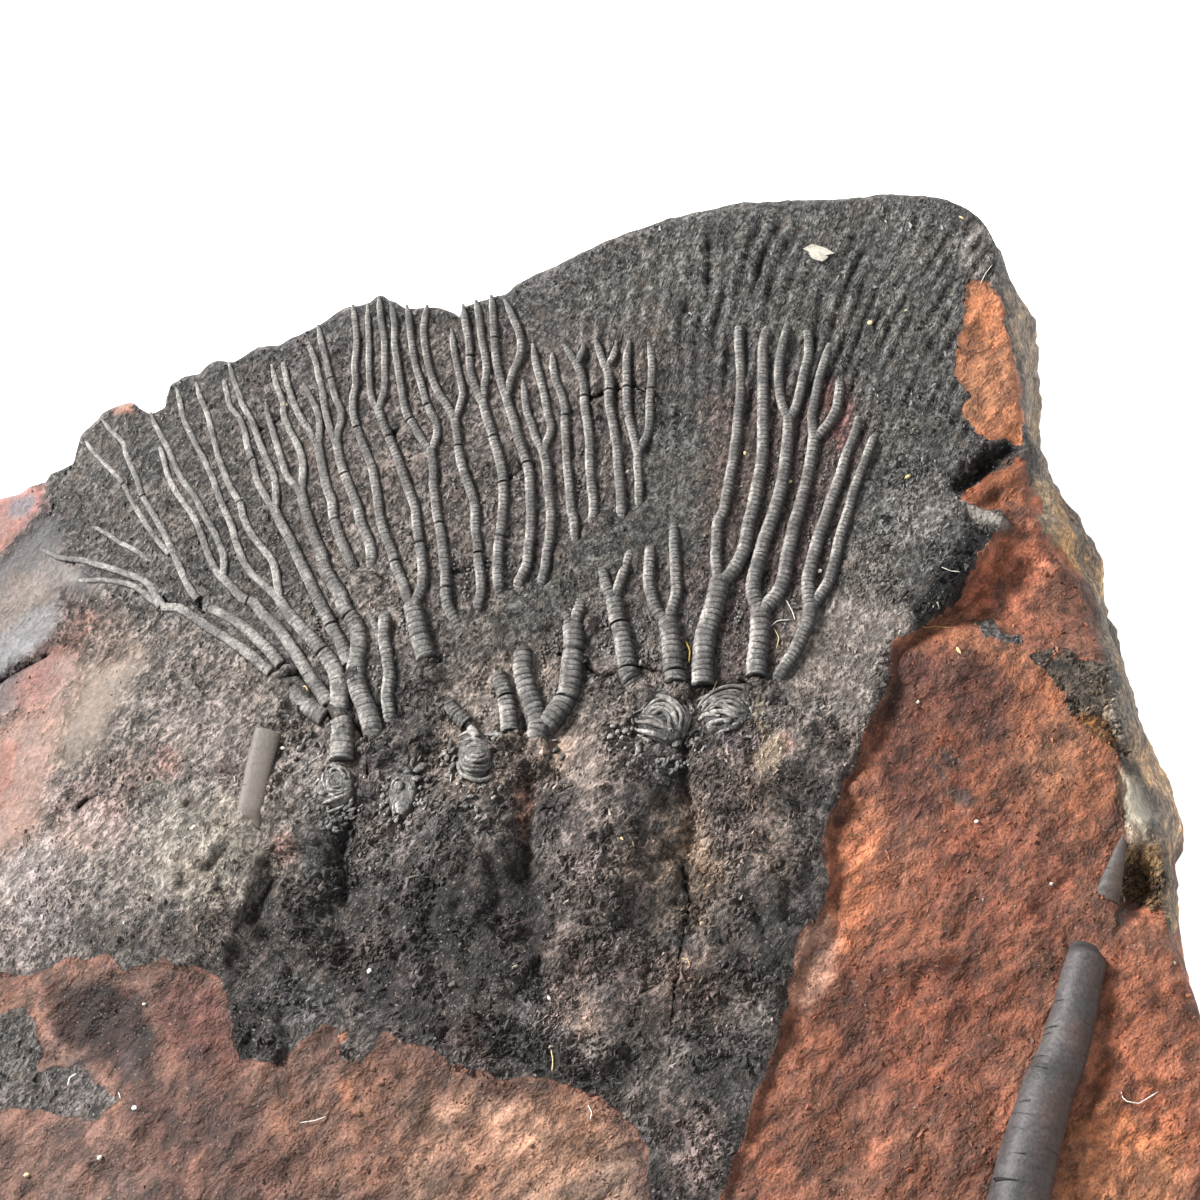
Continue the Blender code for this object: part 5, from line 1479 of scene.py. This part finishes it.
def arm_ends(node, strand, others):
    """How both ends of a strand stop: cut where it meets another strand, else thin, sunk or cut."""
    tip, _, route = strand
    styles = ["thin", "sunk" if node in SUNK_ARMS else "cut"]
    met = [point for other in others for point in (other[2][0], other[2][-1])]
    for k, (c, r) in enumerate((route[0], route[-1])):
        if any(math.hypot(c - u, r - v) < JOINED for u, v in met):
            styles[k] = "cut"
    if styles[0] == "thin" and tip > THICK_TIP:
        styles[0] = "cut" if node in BLUNT_ARMS else "sunk"
    return styles


def build_arms(material):
    rng = np.random.RandomState(5)
    for node, strands in ARMS.items():
        bars = Bars()
        for k, strand in enumerate(strands):
            tip, base, route = strand
            start, end = arm_ends(node, strand, strands[:k] + strands[k + 1:])
            middle = [point for point in route if point][len(route) // 2 - 1]
            # Arms towards the left are painted paler, with flatter painted light and fainter joints:
            # painted glare where the face dips towards the window light.
            pale = float(smooth((460.0 - middle[0]) / 200.0))
            tip, base = (w * (1.0 + 0.14 * float(smooth((w - 2.5) / 1.2))) for w in (tip, base))
            tone = 0.8 * pale + rng.uniform(0.0, 0.6)
            add_bar(bars, route, tip, base, ARM_RISE * (1.0 - 0.25 * pale), rng,
                    start=start, end=end, tone=tone, soft=0.85 * pale)
        bars.piece(node + "_rings", material, "fossil", nodes=(node,))


def build_stems(material):
    rng = np.random.RandomState(6)
    for node, (tip, base, rise, start, end, tone, soft, route) in STEMS.items():
        bars = Bars()
        add_bar(bars, route, tip, base, rise, rng, ring=1.1, ring_gain=0.05, groove=0.004, sides=25,
                start=start, end=end, tone=tone, soft=soft)
        bars.piece(node + "_worn", material, "stem", nodes=(node,))


def build_clusters(material):
    """Domes of rock with the folded plates that lie on them."""
    rng = np.random.RandomState(8)
    for node, ((column, row, across, along, rise), fans, slats, lumps) in CLUSTERS.items():
        mid_x, mid_y, _ = (float(v) for v in lay(column, row))

        def lift(x, y):
            share = np.hypot((x - mid_x) / (across * MM), (y - mid_y) / (along * MM))
            return rise * MM * DOME_SHARE * np.sqrt(np.clip(1.0 - share ** 2, 0.0, 1.0))

        bars = Bars()
        for count, width, outer, inner in fans:
            for k in range(count):
                t = k / (count - 1)
                pairs = zip(outer, inner)
                route = [(a * (1 - t) + c * t, b * (1 - t) + d * t) for (a, b), (c, d) in pairs]
                route = [(a + rng.normal(0.0, 0.7), b + rng.normal(0.0, 0.7)) for a, b in route]
                wide, high = width * rng.uniform(0.8, 1.2), rng.uniform(0.8, 1.2)
                tone = rng.uniform(0.9, 2.8)
                add_bar(bars, route, width * 0.85, wide, high, rng, ring=0.9, groove=0.05, lift=lift,
                        sides=7, start="sunk", end="sunk", tone=tone, soft=1.0)
        for width, route in slats:
            tone = rng.uniform(1.8, 3.4)
            add_bar(bars, route, width * 0.8, width * 1.15, 0.75, rng, ring=0.8, groove=0.06, lift=lift,
                    sides=9, start="thin", end="thin", tone=tone, soft=1.0)
        for c, r, length, wide, turn, shade in lumps:
            bars.lump(c, r, length, wide, turn, shade, rng.uniform(0.35, 0.6), rng, lift)
        spokes = np.linspace(0, 2 * math.pi, 64, endpoint=False)
        ring, spoke = np.meshgrid(np.linspace(0.02, 1.06, 22), spokes, indexing="ij")
        x = mid_x + across * MM * ring * np.cos(spoke)
        y = mid_y + along * MM * ring * np.sin(spoke)
        z = ground(x, y) + lift(x, y) + 0.0003 * cloud(x, y, 0.0022, 3, 151)
        z = z - 0.0009 * smooth((ring - 0.8) / 0.2)
        # The dome under the plates is painted dark through its low crest value: painted shade in the gaps
        # between the plates.
        crest = 0.16 if node in ("plates_swirl", "plates_right") else 0.32
        bars.add(np.stack((x, y, z), axis=-1)[::-1], 0.0, crest, -0.2, 0.8)
        bars.piece(node + "_folds", material, "fossil", nodes=(node,))


def build_beads(material):
    """Rows of tiny plates of the side branches, matted in the rock between the lower arms."""
    rng = np.random.RandomState(41)
    bars = Bars()
    for left, right, top, bottom, density in MATS:
        for _ in range(int((right - left) * (bottom - top) * density / MAT_STEPS)):
            column, row = rng.uniform(left, right), rng.uniform(top, bottom)
            lean = rng.normal(0.2, 0.25)
            size = rng.uniform(2.6, 4.6)
            for k in range(rng.randint(1, 4)):
                c, r = column + lean * size * 1.05 * k, row - size * 1.05 * k
                bars.lump(c, r, size, size * rng.uniform(0.7, 1.0), rng.uniform(50, 120),
                          rng.uniform(0.0, 0.3), rng.uniform(0.16, 0.30), rng)
    for (column, row, across, along, _), count, arc in SCATTER:
        for _ in range(count):
            angle = math.radians(rng.uniform(*arc))
            reach = rng.uniform(0.9, 1.9)
            c = column + across * STEPS_PER_MM * reach * math.cos(angle)
            r = row + along * STEPS_PER_MM * reach * math.sin(angle)
            bars.lump(c, r, rng.uniform(4, 10), rng.uniform(2.5, 5.5), rng.normal(55, 30),
                      rng.uniform(0.2, 2.0), rng.uniform(0.25, 0.5), rng)
    bars.piece("scattered_plates", material, "fossil")


# --- loose grit, chips and fibres ------------------------------------------------------------

def chip_mesh(x, y, z, length, width, height, turn, rng):
    """Corner points and faces of a small broken flake."""
    c, s = math.cos(turn), math.sin(turn)
    verts = []
    for level, share in ((-0.6, 1.0), (0.6, 0.9), (1.0, 0.55)):
        for u, v in CHIP_OUTLINE:
            a = u * length * share * rng.uniform(0.85, 1.15)
            b = v * width * share * rng.uniform(0.85, 1.15)
            verts.append((x + a * c - b * s, y + a * s + b * c, z + level * height))
    faces = [tuple(range(5, -1, -1)), tuple(range(12, 18))]
    for base in (0, 6):
        faces += [(base + k, base + (k + 1) % 6, base + 6 + (k + 1) % 6, base + 6 + k) for k in range(6)]
    return verts, faces


def build_grit(material):
    """Loose chips of shell and straw, and fine grit in random places."""
    rng = np.random.RandomState(21)
    verts, faces, tints = [], [], []

    def put(column, row, length, width, height, turn, colour):
        x, y, _ = (float(v) for v in lay(column, row))
        z = float(ground(np.array([x]), np.array([y]))[0]) + 0.0001
        new_verts, new_faces = chip_mesh(x, y, z, length * MM, width * MM, height * MM, turn, rng)
        start = len(verts)
        verts.extend(new_verts)
        faces.extend([tuple(start + k for k in face) for face in new_faces])
        tints.extend([linear(colour)] * len(new_verts))

    for column, row, length, width, turn, colour in CHIPS:
        put(column, row, length, width, 0.32, math.radians(turn), colour)
    for _ in range(GRIT_PIECES):
        column, row = rng.uniform(-60, 1180), rng.uniform(210, 1260)
        if row < rim_at(RIM_BACK, column, 0) + 8 or column > rim_at(RIM_RIGHT, row, 1) - 8:
            continue
        size = rng.uniform(0.14, 0.34)
        shade = rng.uniform(90, 175)
        colour = (shade, shade * rng.uniform(0.93, 0.99), shade * rng.uniform(0.82, 0.97))
        put(column, row, size, size * rng.uniform(0.6, 1.0), 0.22, rng.uniform(0, math.pi), colour)
    add_piece("grit", verts, faces, material, {"tint": np.array(tints)}, rounded=False)


def build_grains(material):
    """Angular wedges half sunk in the rock, in its own colours, each tilted its own way."""
    rng = np.random.RandomState(51)
    column = rng.uniform(RIM_LEFT[1][0], 1200, GRAINS)
    row = rng.uniform(200, 1290, GRAINS)
    keep = row > rim_at(RIM_BACK, column, 0) + 5
    keep &= column < rim_at(RIM_RIGHT, row, 1) - 4
    keep &= row < rim_at(RIM_FRONT, column, 0) - 6
    column, row = column[keep], row[keep]
    x, y, _ = lay(column, row)
    z = ground(x, y)
    column, row = to_sheet(x, y, z)
    grey, red, share, polish = rock_colour(x, y, column, row)
    arms = smooth((column - 130.0) / 60.0) * smooth((880.0 - column) / 30.0)
    arms = arms * smooth((690.0 - row) / 20.0)
    pale = smooth((grey[:, 1] - 0.11) / 0.10)
    calm = np.maximum(np.maximum(0.8 * arms, 0.7 * furrowed(column, row)), 0.9 * pale)
    calm = np.maximum(calm, 0.8 * smooth((310.0 - column) / 80.0))
    gathered = smooth(0.55 + 1.1 * cloud(x, y, 0.0055, 2, 161))
    wanted = (1.0 - 0.95 * polish) * (1.0 - 0.8 * share) * (1.0 - 0.65 * calm) * gathered
    keep = rng.uniform(0.0, 1.0, len(x)) < wanted
    kept = [values[keep] for values in (x, y, z, share, calm, column, row, polish)]
    x, y, z, share, calm, column, row, polish = kept
    tint = np.where(share[:, None] > 0.5, red[keep], grey[keep])
    z = z + grain(x, y, column, row, share, polish)
    count = len(x)
    size = np.clip(np.exp(rng.normal(-0.72, 0.45, count)), 0.2, 1.5)
    size = size * (1.0 - 0.45 * share) * (1.0 - 0.5 * calm) * MM
    turn = 0.8 + 0.25 * smooth((300.0 - column) / 60.0) + 0.45 * calm + rng.normal(0.0, 0.5, count)
    c, n = np.cos(turn), np.sin(turn)
    lean = rng.uniform(-0.6, 0.6, (count, 2))
    slim = rng.uniform(0.6, 1.3, count)
    verts = np.empty((count, 6, 3))
    for k, (u, v) in enumerate(GRAIN_CORNERS):
        u = u * rng.uniform(0.7, 1.25, count)
        v = (v + (k > 3) * rng.uniform(-0.25, 0.25, count)) * slim * rng.uniform(0.85, 1.15, count)
        verts[:, k, 0] = x + (u * c - v * n) * size
        verts[:, k, 1] = y + (u * n + v * c) * size
        level = rng.uniform(0.35, 0.75, count) * (0.00045 / size) ** 0.4 if k > 3 else -0.5
        verts[:, k, 2] = z + (level + lean[:, 0] * u + lean[:, 1] * v) * size
    tone = np.exp(rng.normal(-0.14, 0.55, count)) * (1.0 + 0.5 * cloud(x, y, 0.003, 2, 165))
    tone = np.clip(tone, 0.2, 3.2)
    tone = 1.0 + (tone - 1.0) * (1.0 - 0.5 * np.maximum(pale[keep], 0.8 * share))
    bright = rng.uniform(0.0, 1.0, count) < 0.008
    tint = np.where(bright[:, None], linear((158, 150, 138)), tint * tone[:, None])
    tints = np.repeat(np.clip(tint, 0.0, 0.8), 6, axis=0)
    for k, first in enumerate(range(0, count, GRAIN_BATCH)):
        last = min(count, first + GRAIN_BATCH)
        starts = range(0, 6 * (last - first), 6)
        faces = [tuple(base + i for i in face) for base in starts for face in GRAIN_FACES]
        add_piece(f"grains_{k + 1}", verts[first:last].reshape(-1, 3), faces, material,
                  {"tint": tints[first * 6:last * 6]}, rounded=False)


def build_fibres(material):
    """Thin straws and hairs, drawn out to a point at both ends."""
    verts, faces, tints = [], [], []
    for thick, colour, route in FIBRES:
        x, y, _ = lay(*drawn_arrays(route))
        line = even_points(np.column_stack((x, y)), FIBRE_PARTS + 1)
        z = ground(line[:, 0], line[:, 1]) + 0.3 * MM
        start = len(verts)
        for k, ((px, py), pz, (tx, ty)) in enumerate(zip(line, z, direction(line))):
            slim = thick * MM / 2 * (1.0 if 0 < k < FIBRE_PARTS else 0.4)
            for a in range(FIBRE_SIDES):
                turn = 2 * math.pi * a / FIBRE_SIDES
                out = slim * math.cos(turn)
                verts.append((px + ty * out, py - tx * out, pz + slim * math.sin(turn)))
                tints.append(linear(colour))
        for k in range(FIBRE_PARTS):
            base = start + k * FIBRE_SIDES
            above = base + FIBRE_SIDES
            for a in range(FIBRE_SIDES):
                b = (a + 1) % FIBRE_SIDES
                faces.append((base + a, base + b, above + b, above + a))
        faces.append(tuple(start + k for k in range(FIBRE_SIDES - 1, -1, -1)))
        faces.append(tuple(start + FIBRE_PARTS * FIBRE_SIDES + k for k in range(FIBRE_SIDES)))
    add_piece("fibres", verts, faces, material, {"tint": np.array(tints)})


def build_flake(material):
    """A thin pale wing-like flake lying on the back of the slab."""
    verts, faces = [], []
    for level, outline in enumerate(FLAKE):
        x, y, _ = lay(*drawn_arrays(outline))
        z = ground(x, y) + (0.6 + 0.5 * level + 0.25 * np.sin(np.arange(len(x)) * 2.0)) * MM
        count = len(x)
        start = len(verts)
        top = start + count
        for lift in (0.0, 0.00018):
            verts += list(zip(x, y, z + lift))
        faces.append(tuple(range(start, top)))
        faces.append(tuple(range(top + count - 1, top - 1, -1)))
        for k in range(count):
            n = (k + 1) % count
            faces.append((start + k, top + k, top + n, start + n))
    tints = np.tile(linear((186, 180, 168)), (len(verts), 1))
    add_piece("flake", verts, faces, material, {"tint": tints}, rounded=False)


# --- materials -------------------------------------------------------------------------------

class Shader:
    """A short way to write a node material."""

    def __init__(self, name):
        self.material = bpy.data.materials.new(name)
        self.material.use_nodes = True
        self.tree = self.material.node_tree
        self.main = self.tree.nodes["Principled BSDF"]
        self.where = self.tree.nodes.new("ShaderNodeTexCoord").outputs["Object"]

    def link(self, value, socket):
        """Feed a socket with a number, a tuple or another node's output."""
        if isinstance(value, (int, float)):
            socket.default_value = value
        elif isinstance(value, tuple):
            socket.default_value = value if len(value) == 4 or socket.type == "VECTOR" else (*value, 1.0)
        else:
            self.tree.links.new(value, socket)

    def attribute(self, name, output="Fac"):
        node = self.tree.nodes.new("ShaderNodeAttribute")
        node.attribute_name = name
        return node.outputs[output]

    def stretch(self, turn, scale):
        """Object position drawn out along a direction in plan."""
        node = self.tree.nodes.new("ShaderNodeMapping")
        node.vector_type = "TEXTURE"
        self.link(self.where, node.inputs["Vector"])
        node.inputs["Rotation"].default_value = (0.0, 0.0, turn)
        node.inputs["Scale"].default_value = scale
        return node.outputs["Vector"]

    def noise(self, scale, detail=4.0, rough=0.6, vector=None, warp=0.0):
        node = self.tree.nodes.new("ShaderNodeTexNoise")
        self.link(vector or self.where, node.inputs["Vector"])
        node.inputs["Scale"].default_value = scale
        node.inputs["Detail"].default_value = detail
        node.inputs["Roughness"].default_value = rough
        node.inputs["Distortion"].default_value = warp
        return node.outputs["Fac"]

    def math(self, kind, a, b=0.0, c=0.0):
        node = self.tree.nodes.new("ShaderNodeMath")
        node.operation = kind
        for value, socket in zip((a, b, c), node.inputs):
            self.link(value, socket)
        return node.outputs[0]

    def mul(self, a, b):
        return self.math("MULTIPLY", a, b)

    def mul_add(self, a, b, c):
        """a times b, plus c."""
        return self.math("MULTIPLY_ADD", a, b, c)

    def sub(self, a, b):
        return self.math("SUBTRACT", a, b)

    def ramp(self, value, low, high, out_low=0.0, out_high=1.0):
        """A soft step from out_low to out_high while the value goes from low to high."""
        node = self.tree.nodes.new("ShaderNodeMapRange")
        node.interpolation_type = "SMOOTHSTEP"
        for item, socket in zip((value, low, high, out_low, out_high), node.inputs):
            self.link(item, socket)
        return node.outputs["Result"]

    def mix(self, share, a, b):
        """Colour a where the share is 0, colour b where it is 1."""
        node = self.tree.nodes.new("ShaderNodeMix")
        node.data_type = "RGBA"
        self.link(share, node.inputs["Factor"])
        sockets = [socket for socket in node.inputs if socket.type == "RGBA"]
        self.link(a, sockets[0])
        self.link(b, sockets[1])
        return next(socket for socket in node.outputs if socket.type == "RGBA")

    def times(self, colour, value):
        """Colour scaled by a value."""
        node = self.tree.nodes.new("ShaderNodeVectorMath")
        node.operation = "SCALE"
        self.link(colour, node.inputs[0])
        self.link(value, node.inputs["Scale"])
        return node.outputs["Vector"]

    def bump(self, height, distance, strength=1.0, under=None):
        node = self.tree.nodes.new("ShaderNodeBump")
        self.link(height, node.inputs["Height"])
        node.inputs["Distance"].default_value = distance
        node.inputs["Strength"].default_value = strength
        if under is not None:
            self.link(under, node.inputs["Normal"])
        return node.outputs["Normal"]

    def finish(self, colour, rough, normal, specular=0.5):
        self.link(colour, self.main.inputs["Base Color"])
        self.link(rough, self.main.inputs["Roughness"])
        self.link(normal, self.main.inputs["Normal"])
        self.main.inputs["Specular IOR Level"].default_value = specular
        return self.material


def rock_material():
    """Gritty grey rock and soft streaky red rock, mixed where the painted shares say so."""
    s = Shader("layered_rock")
    polish = s.attribute("polish")
    crack = s.attribute("crack")
    coarse = s.noise(380.0, 4.0, 0.66, vector=s.stretch(0.80, (1.4, 1.0, 1.0)), warp=0.2)
    grit = s.noise(950.0, 4.0, 0.72, vector=s.stretch(0.85, (1.3, 1.0, 1.0)), warp=0.15)
    rake = s.noise(620.0, 4.0, 0.66, vector=s.stretch(1.22, (3.2, 1.0, 1.0)), warp=0.3)
    back = s.mul(s.attribute("furrow"), 0.75)
    coarse = s.mul_add(s.sub(rake, coarse), back, coarse)
    lumps = s.noise(420.0, 3.0, 0.55, vector=s.stretch(0.78, (1.5, 1.0, 1.0)), warp=0.3)
    blot = s.noise(150.0, 4.0, 0.62, vector=s.stretch(0.78, (1.4, 1.0, 1.0)), warp=0.3)
    fine = s.noise(1900.0, 4.0, 0.66)
    edge = s.mul_add(blot, 0.6, s.sub(s.attribute("red"), 0.75))
    edge = s.mul_add(grit, 0.9, edge)
    red = s.ramp(edge, 0.37, 0.63)
    # The grey rock's tone follows the same noises as its bump, darker in the low places: partly grain
    # colour, partly painted shade in the pits. The red rock's tone is likewise darker where its lumps are
    # low.
    grey_grain_and_pit_shade = s.mul(s.ramp(grit, 0.40, 0.62, 0.26, 1.95), s.ramp(coarse, 0.39, 0.61, 0.52, 1.42))
    red_tone = s.mul(s.ramp(lumps, 0.36, 0.62, 0.62, 1.30), s.ramp(fine, 0.36, 0.64, 0.76, 1.24))
    pale = s.ramp(s.attribute("grey_tint"), 0.10, 0.26, 0.0, 0.45)
    calm = s.mul_add(polish, -0.72, s.sub(1.0, pale))

    def calmed(tone):
        return s.mul_add(s.sub(tone, 1.0), calm, 1.0)

    grey = s.times(s.attribute("grey_tint", "Color"), calmed(grey_grain_and_pit_shade))
    umber = s.ramp(s.noise(350.0, 4.0, 0.6, warp=0.2), 0.52, 0.66, 0.0, 0.45)
    groove = s.noise(360.0, 3.0, 0.55, vector=s.stretch(1.16, (4.5, 1.0, 1.0)), warp=0.2)
    groove = s.ramp(s.math("ABSOLUTE", s.sub(groove, 0.5)), 0.0, 0.040, 0.40, 0.0)
    groove = s.mul(groove, s.attribute("furrow"))
    # Painted shade along the grooves of the furrowed back.
    grey = s.times(grey, s.sub(1.04, groove))
    umber = s.mul(umber, s.ramp(s.attribute("grey_tint"), 0.008, 0.050))
    grey = s.mix(s.mul(umber, calm), grey, (0.100, 0.072, 0.054))
    fleck = s.mul(s.ramp(s.noise(1450.0, 2.0, 0.5), 0.65, 0.69), s.mul(calm, 0.7))
    grey = s.mix(fleck, grey, (0.33, 0.305, 0.27))
    tint = s.attribute("red_tint", "Color")
    ruddy = s.mix(s.ramp(blot, 0.50, 0.62, 0.0, 0.80), tint, s.times(tint, 0.45))
    ruddy = s.mix(s.ramp(blot, 0.46, 0.36, 0.0, 0.60), ruddy, s.times(tint, 1.7))
    ruddy = s.times(ruddy, calmed(red_tone))
    ruddy = s.mix(s.mul(fleck, 0.35), ruddy, (0.50, 0.36, 0.26))
    colour = s.mix(red, grey, ruddy)
    # Cracks are painted almost black: painted shade in the cracks.
    colour = s.mix(s.ramp(crack, 0.55, 0.95), colour, (0.004, 0.004, 0.004))
    grey_height = s.mul_add(grit, 1.2, s.mul_add(groove, -0.5, s.mul(coarse, 1.5)))
    red_height = s.mul_add(lumps, 0.9, s.mul_add(fine, 0.30, s.mul(blot, 1.6)))
    height = s.mul_add(s.sub(red_height, grey_height), red, grey_height)
    normal = s.bump(s.mul(height, s.mul_add(polish, -0.75, 1.0)), 0.0018)
    rough = s.mul_add(polish, -0.22, s.ramp(coarse, 0.3, 0.7, 0.55, 0.80))
    return s.finish(colour, rough, normal, 0.45)


def arm_material():
    """Grey calcite with dark ring joints, with a painted highlight on the left flank, painted shade on
    the right flank and painted shade at the foot.
    """
    s = Shader("ringed_calcite")
    side = s.attribute("side")
    grit = s.noise(1300.0, 4.0, 0.68, warp=0.4)
    broad = s.noise(190.0, 4.0, 0.62)
    high = s.mix(s.ramp(broad, 0.40, 0.60), (0.090, 0.081, 0.076), (0.225, 0.210, 0.196))
    # The lower flanks and foot (low crest) are painted nearly black: painted shade where the arm meets
    # the rock.
    colour = s.mix(s.ramp(s.attribute("crest"), 0.05, 0.55), (0.014, 0.012, 0.012), high)
    colour = s.times(colour, s.ramp(grit, 0.38, 0.64, 0.50, 1.45))
    colour = s.times(colour, s.mul_add(s.attribute("tone"), 0.42, 0.74))
    # Painted highlight on the flank facing the window light, painted shade on the far flank.
    colour = s.times(colour, s.ramp(side, -0.85, -0.25, 2.1, 0.86))
    colour = s.times(colour, s.ramp(side, -0.05, 0.80, 1.0, 0.36))
    # The dark joint lines are the calcite's own; they are painted fainter on the lit flank.
    lines = s.mul(s.ramp(s.attribute("joint"), 0.04, 0.48), s.ramp(side, -0.70, -0.25, 0.30, 0.97))
    colour = s.mix(lines, colour, (0.008, 0.007, 0.007))
    normal = s.bump(s.mul_add(grit, 0.9, s.noise(3400.0, 2.0)), 0.00032)
    return s.finish(colour, s.ramp(grit, 0.3, 0.7, 0.30, 0.55), normal, 0.7)


def stem_material():
    """Smooth dark calcite with faint bands, a brown stain on its right side and painted shade on its
    right flank.
    """
    s = Shader("worn_calcite")
    grit = s.noise(1500.0, 4.0, 0.62)
    broad = s.noise(110.0, 4.0, 0.6)
    bands = s.noise(330.0, 3.0, 0.5, vector=s.stretch(-0.25, (5.0, 0.8, 1.0)))
    stain = s.mul_add(broad, 0.9, s.mul(s.attribute("side"), 0.30))
    colour = s.mix(s.ramp(broad, 0.35, 0.68), (0.044, 0.040, 0.041), (0.078, 0.071, 0.072))
    colour = s.mix(s.ramp(stain, 0.36, 0.72), colour, (0.072, 0.045, 0.036))
    colour = s.times(colour, s.ramp(bands, 0.3, 0.7, 0.80, 1.16))
    colour = s.times(colour, s.ramp(grit, 0.3, 0.7, 0.72, 1.28))
    # Painted shade on the flank away from the window light.
    colour = s.times(colour, s.ramp(s.attribute("side"), -0.6, 0.8, 1.05, 0.80))
    colour = s.mix(s.attribute("tone"), colour, s.times(s.mix(0.8, colour, (0.098, 0.085, 0.072)), 1.2))
    normal = s.bump(s.mul_add(grit, 0.8, bands), 0.00018)
    return s.finish(colour, s.ramp(broad, 0.3, 0.7, 0.48, 0.62), normal, 0.4)


def grit_material():
    """Loose bits in their own tints, with fine specks."""
    s = Shader("loose_grit")
    speck = s.noise(2600.0, 3.0, 0.6)
    colour = s.times(s.attribute("tint", "Color"), s.ramp(speck, 0.3, 0.7, 0.75, 1.25))
    return s.finish(colour, s.ramp(speck, 0.3, 0.7, 0.45, 0.7), s.bump(speck, 0.0001), 0.45)


def floor_material():
    s = Shader("pale_floor")
    veil = s.noise(6.0, 3.0, 0.5)
    s.main.inputs["Emission Color"].default_value = (1.0, 1.0, 1.0, 1.0)
    s.main.inputs["Emission Strength"].default_value = 0.8
    return s.finish(s.mix(veil, (0.90, 0.90, 0.90), (0.92, 0.92, 0.92)), 0.9, s.bump(veil, 0.0), 0.2)


# --- stage -----------------------------------------------------------------------------------

def add_light(name, place, aim, size, power, colour=(1.0, 1.0, 1.0)):
    data = bpy.data.lights.new(name, "AREA")
    data.shape = "SQUARE"
    data.size = size
    data.energy = power
    data.color = colour
    light = bpy.data.objects.new(name, data)
    light.location = place
    light.rotation_mode = "QUATERNION"
    light.rotation_quaternion = (Vector(aim) - Vector(place)).to_track_quat("-Z", "Y")
    bpy.context.scene.collection.objects.link(light)


def build_floor():
    """A wide round floor that curves up at its edge, a hair under the slab."""
    mesh = bpy.data.meshes.new("floor")
    spokes = 48
    turns = np.arange(spokes) * math.pi / 24
    verts = [(0.0, 0.0, -FLOOR_GAP)]
    for reach, height in FLOOR_RINGS:
        verts += [(reach * math.cos(a), reach * math.sin(a), height - FLOOR_GAP) for a in turns]
    faces = [(0, 1 + k, 1 + (k + 1) % spokes) for k in range(spokes)]
    for inner in range(1, (len(FLOOR_RINGS) - 1) * spokes + 1, spokes):
        outer = inner + spokes
        for k in range(spokes):
            n = (k + 1) % spokes
            faces.append((inner + k, outer + k, outer + n, inner + n))
    mesh.from_pydata(verts, [], faces)
    mesh.polygons.foreach_set("use_smooth", [True] * len(faces))
    mesh.materials.append(floor_material())
    floor = bpy.data.objects.new("floor", mesh)
    bpy.context.scene.collection.objects.link(floor)


def build_stage():
    """Floor, window light from the upper left, soft light from above, and the camera."""
    build_floor()
    aim = (0.0, 0.0, 0.03)
    add_light("window", (-0.70, 0.34, 0.62), aim, 0.24, 27.0, (1.0, 0.985, 0.96))
    add_light("ceiling", (0.20, -0.20, 1.10), aim, 0.9, 2.0, (0.97, 0.985, 1.0))
    world = bpy.data.worlds.new("studio")
    world.use_nodes = True
    world.node_tree.nodes["Background"].inputs["Color"].default_value = (1.0, 1.0, 1.0, 1.0)
    world.node_tree.nodes["Background"].inputs["Strength"].default_value = 0.22
    bpy.context.scene.world = world
    bpy.context.scene.view_settings.view_transform = "Standard"

    data = bpy.data.cameras.new("camera")
    data.sensor_width = 36.0
    data.lens = 18.0 * SIGHT_DISTANCE / SHEET_REACH
    camera = bpy.data.objects.new("camera", data)
    target = Vector((SHIFT[0], SHIFT[1], FACE_HEIGHT))
    back = Vector((0.0, -SIGHT_COS, SIGHT_SIN))
    camera.location = target + back * SIGHT_DISTANCE
    camera.rotation_mode = "QUATERNION"
    camera.rotation_quaternion = (-back).to_track_quat("-Z", "Y")
    bpy.context.scene.collection.objects.link(camera)
    bpy.context.scene.camera = camera


def shift_of_frame():
    """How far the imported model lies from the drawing: one round cluster shows it."""
    low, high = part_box("plates_swirl")
    x, y, _ = lay(664, 722)
    return np.array([(low[0] + high[0]) / 2 - float(x), (low[1] + high[1]) / 2 - float(y), 0.0])


SHIFT = shift_of_frame()
build_slab(rock_material())
fossil = arm_material()
build_arms(fossil)
build_clusters(fossil)
build_beads(fossil)
build_stems(stem_material())
debris = grit_material()
build_grit(debris)
build_grains(debris)
build_fibres(debris)
build_flake(debris)
build_stage()
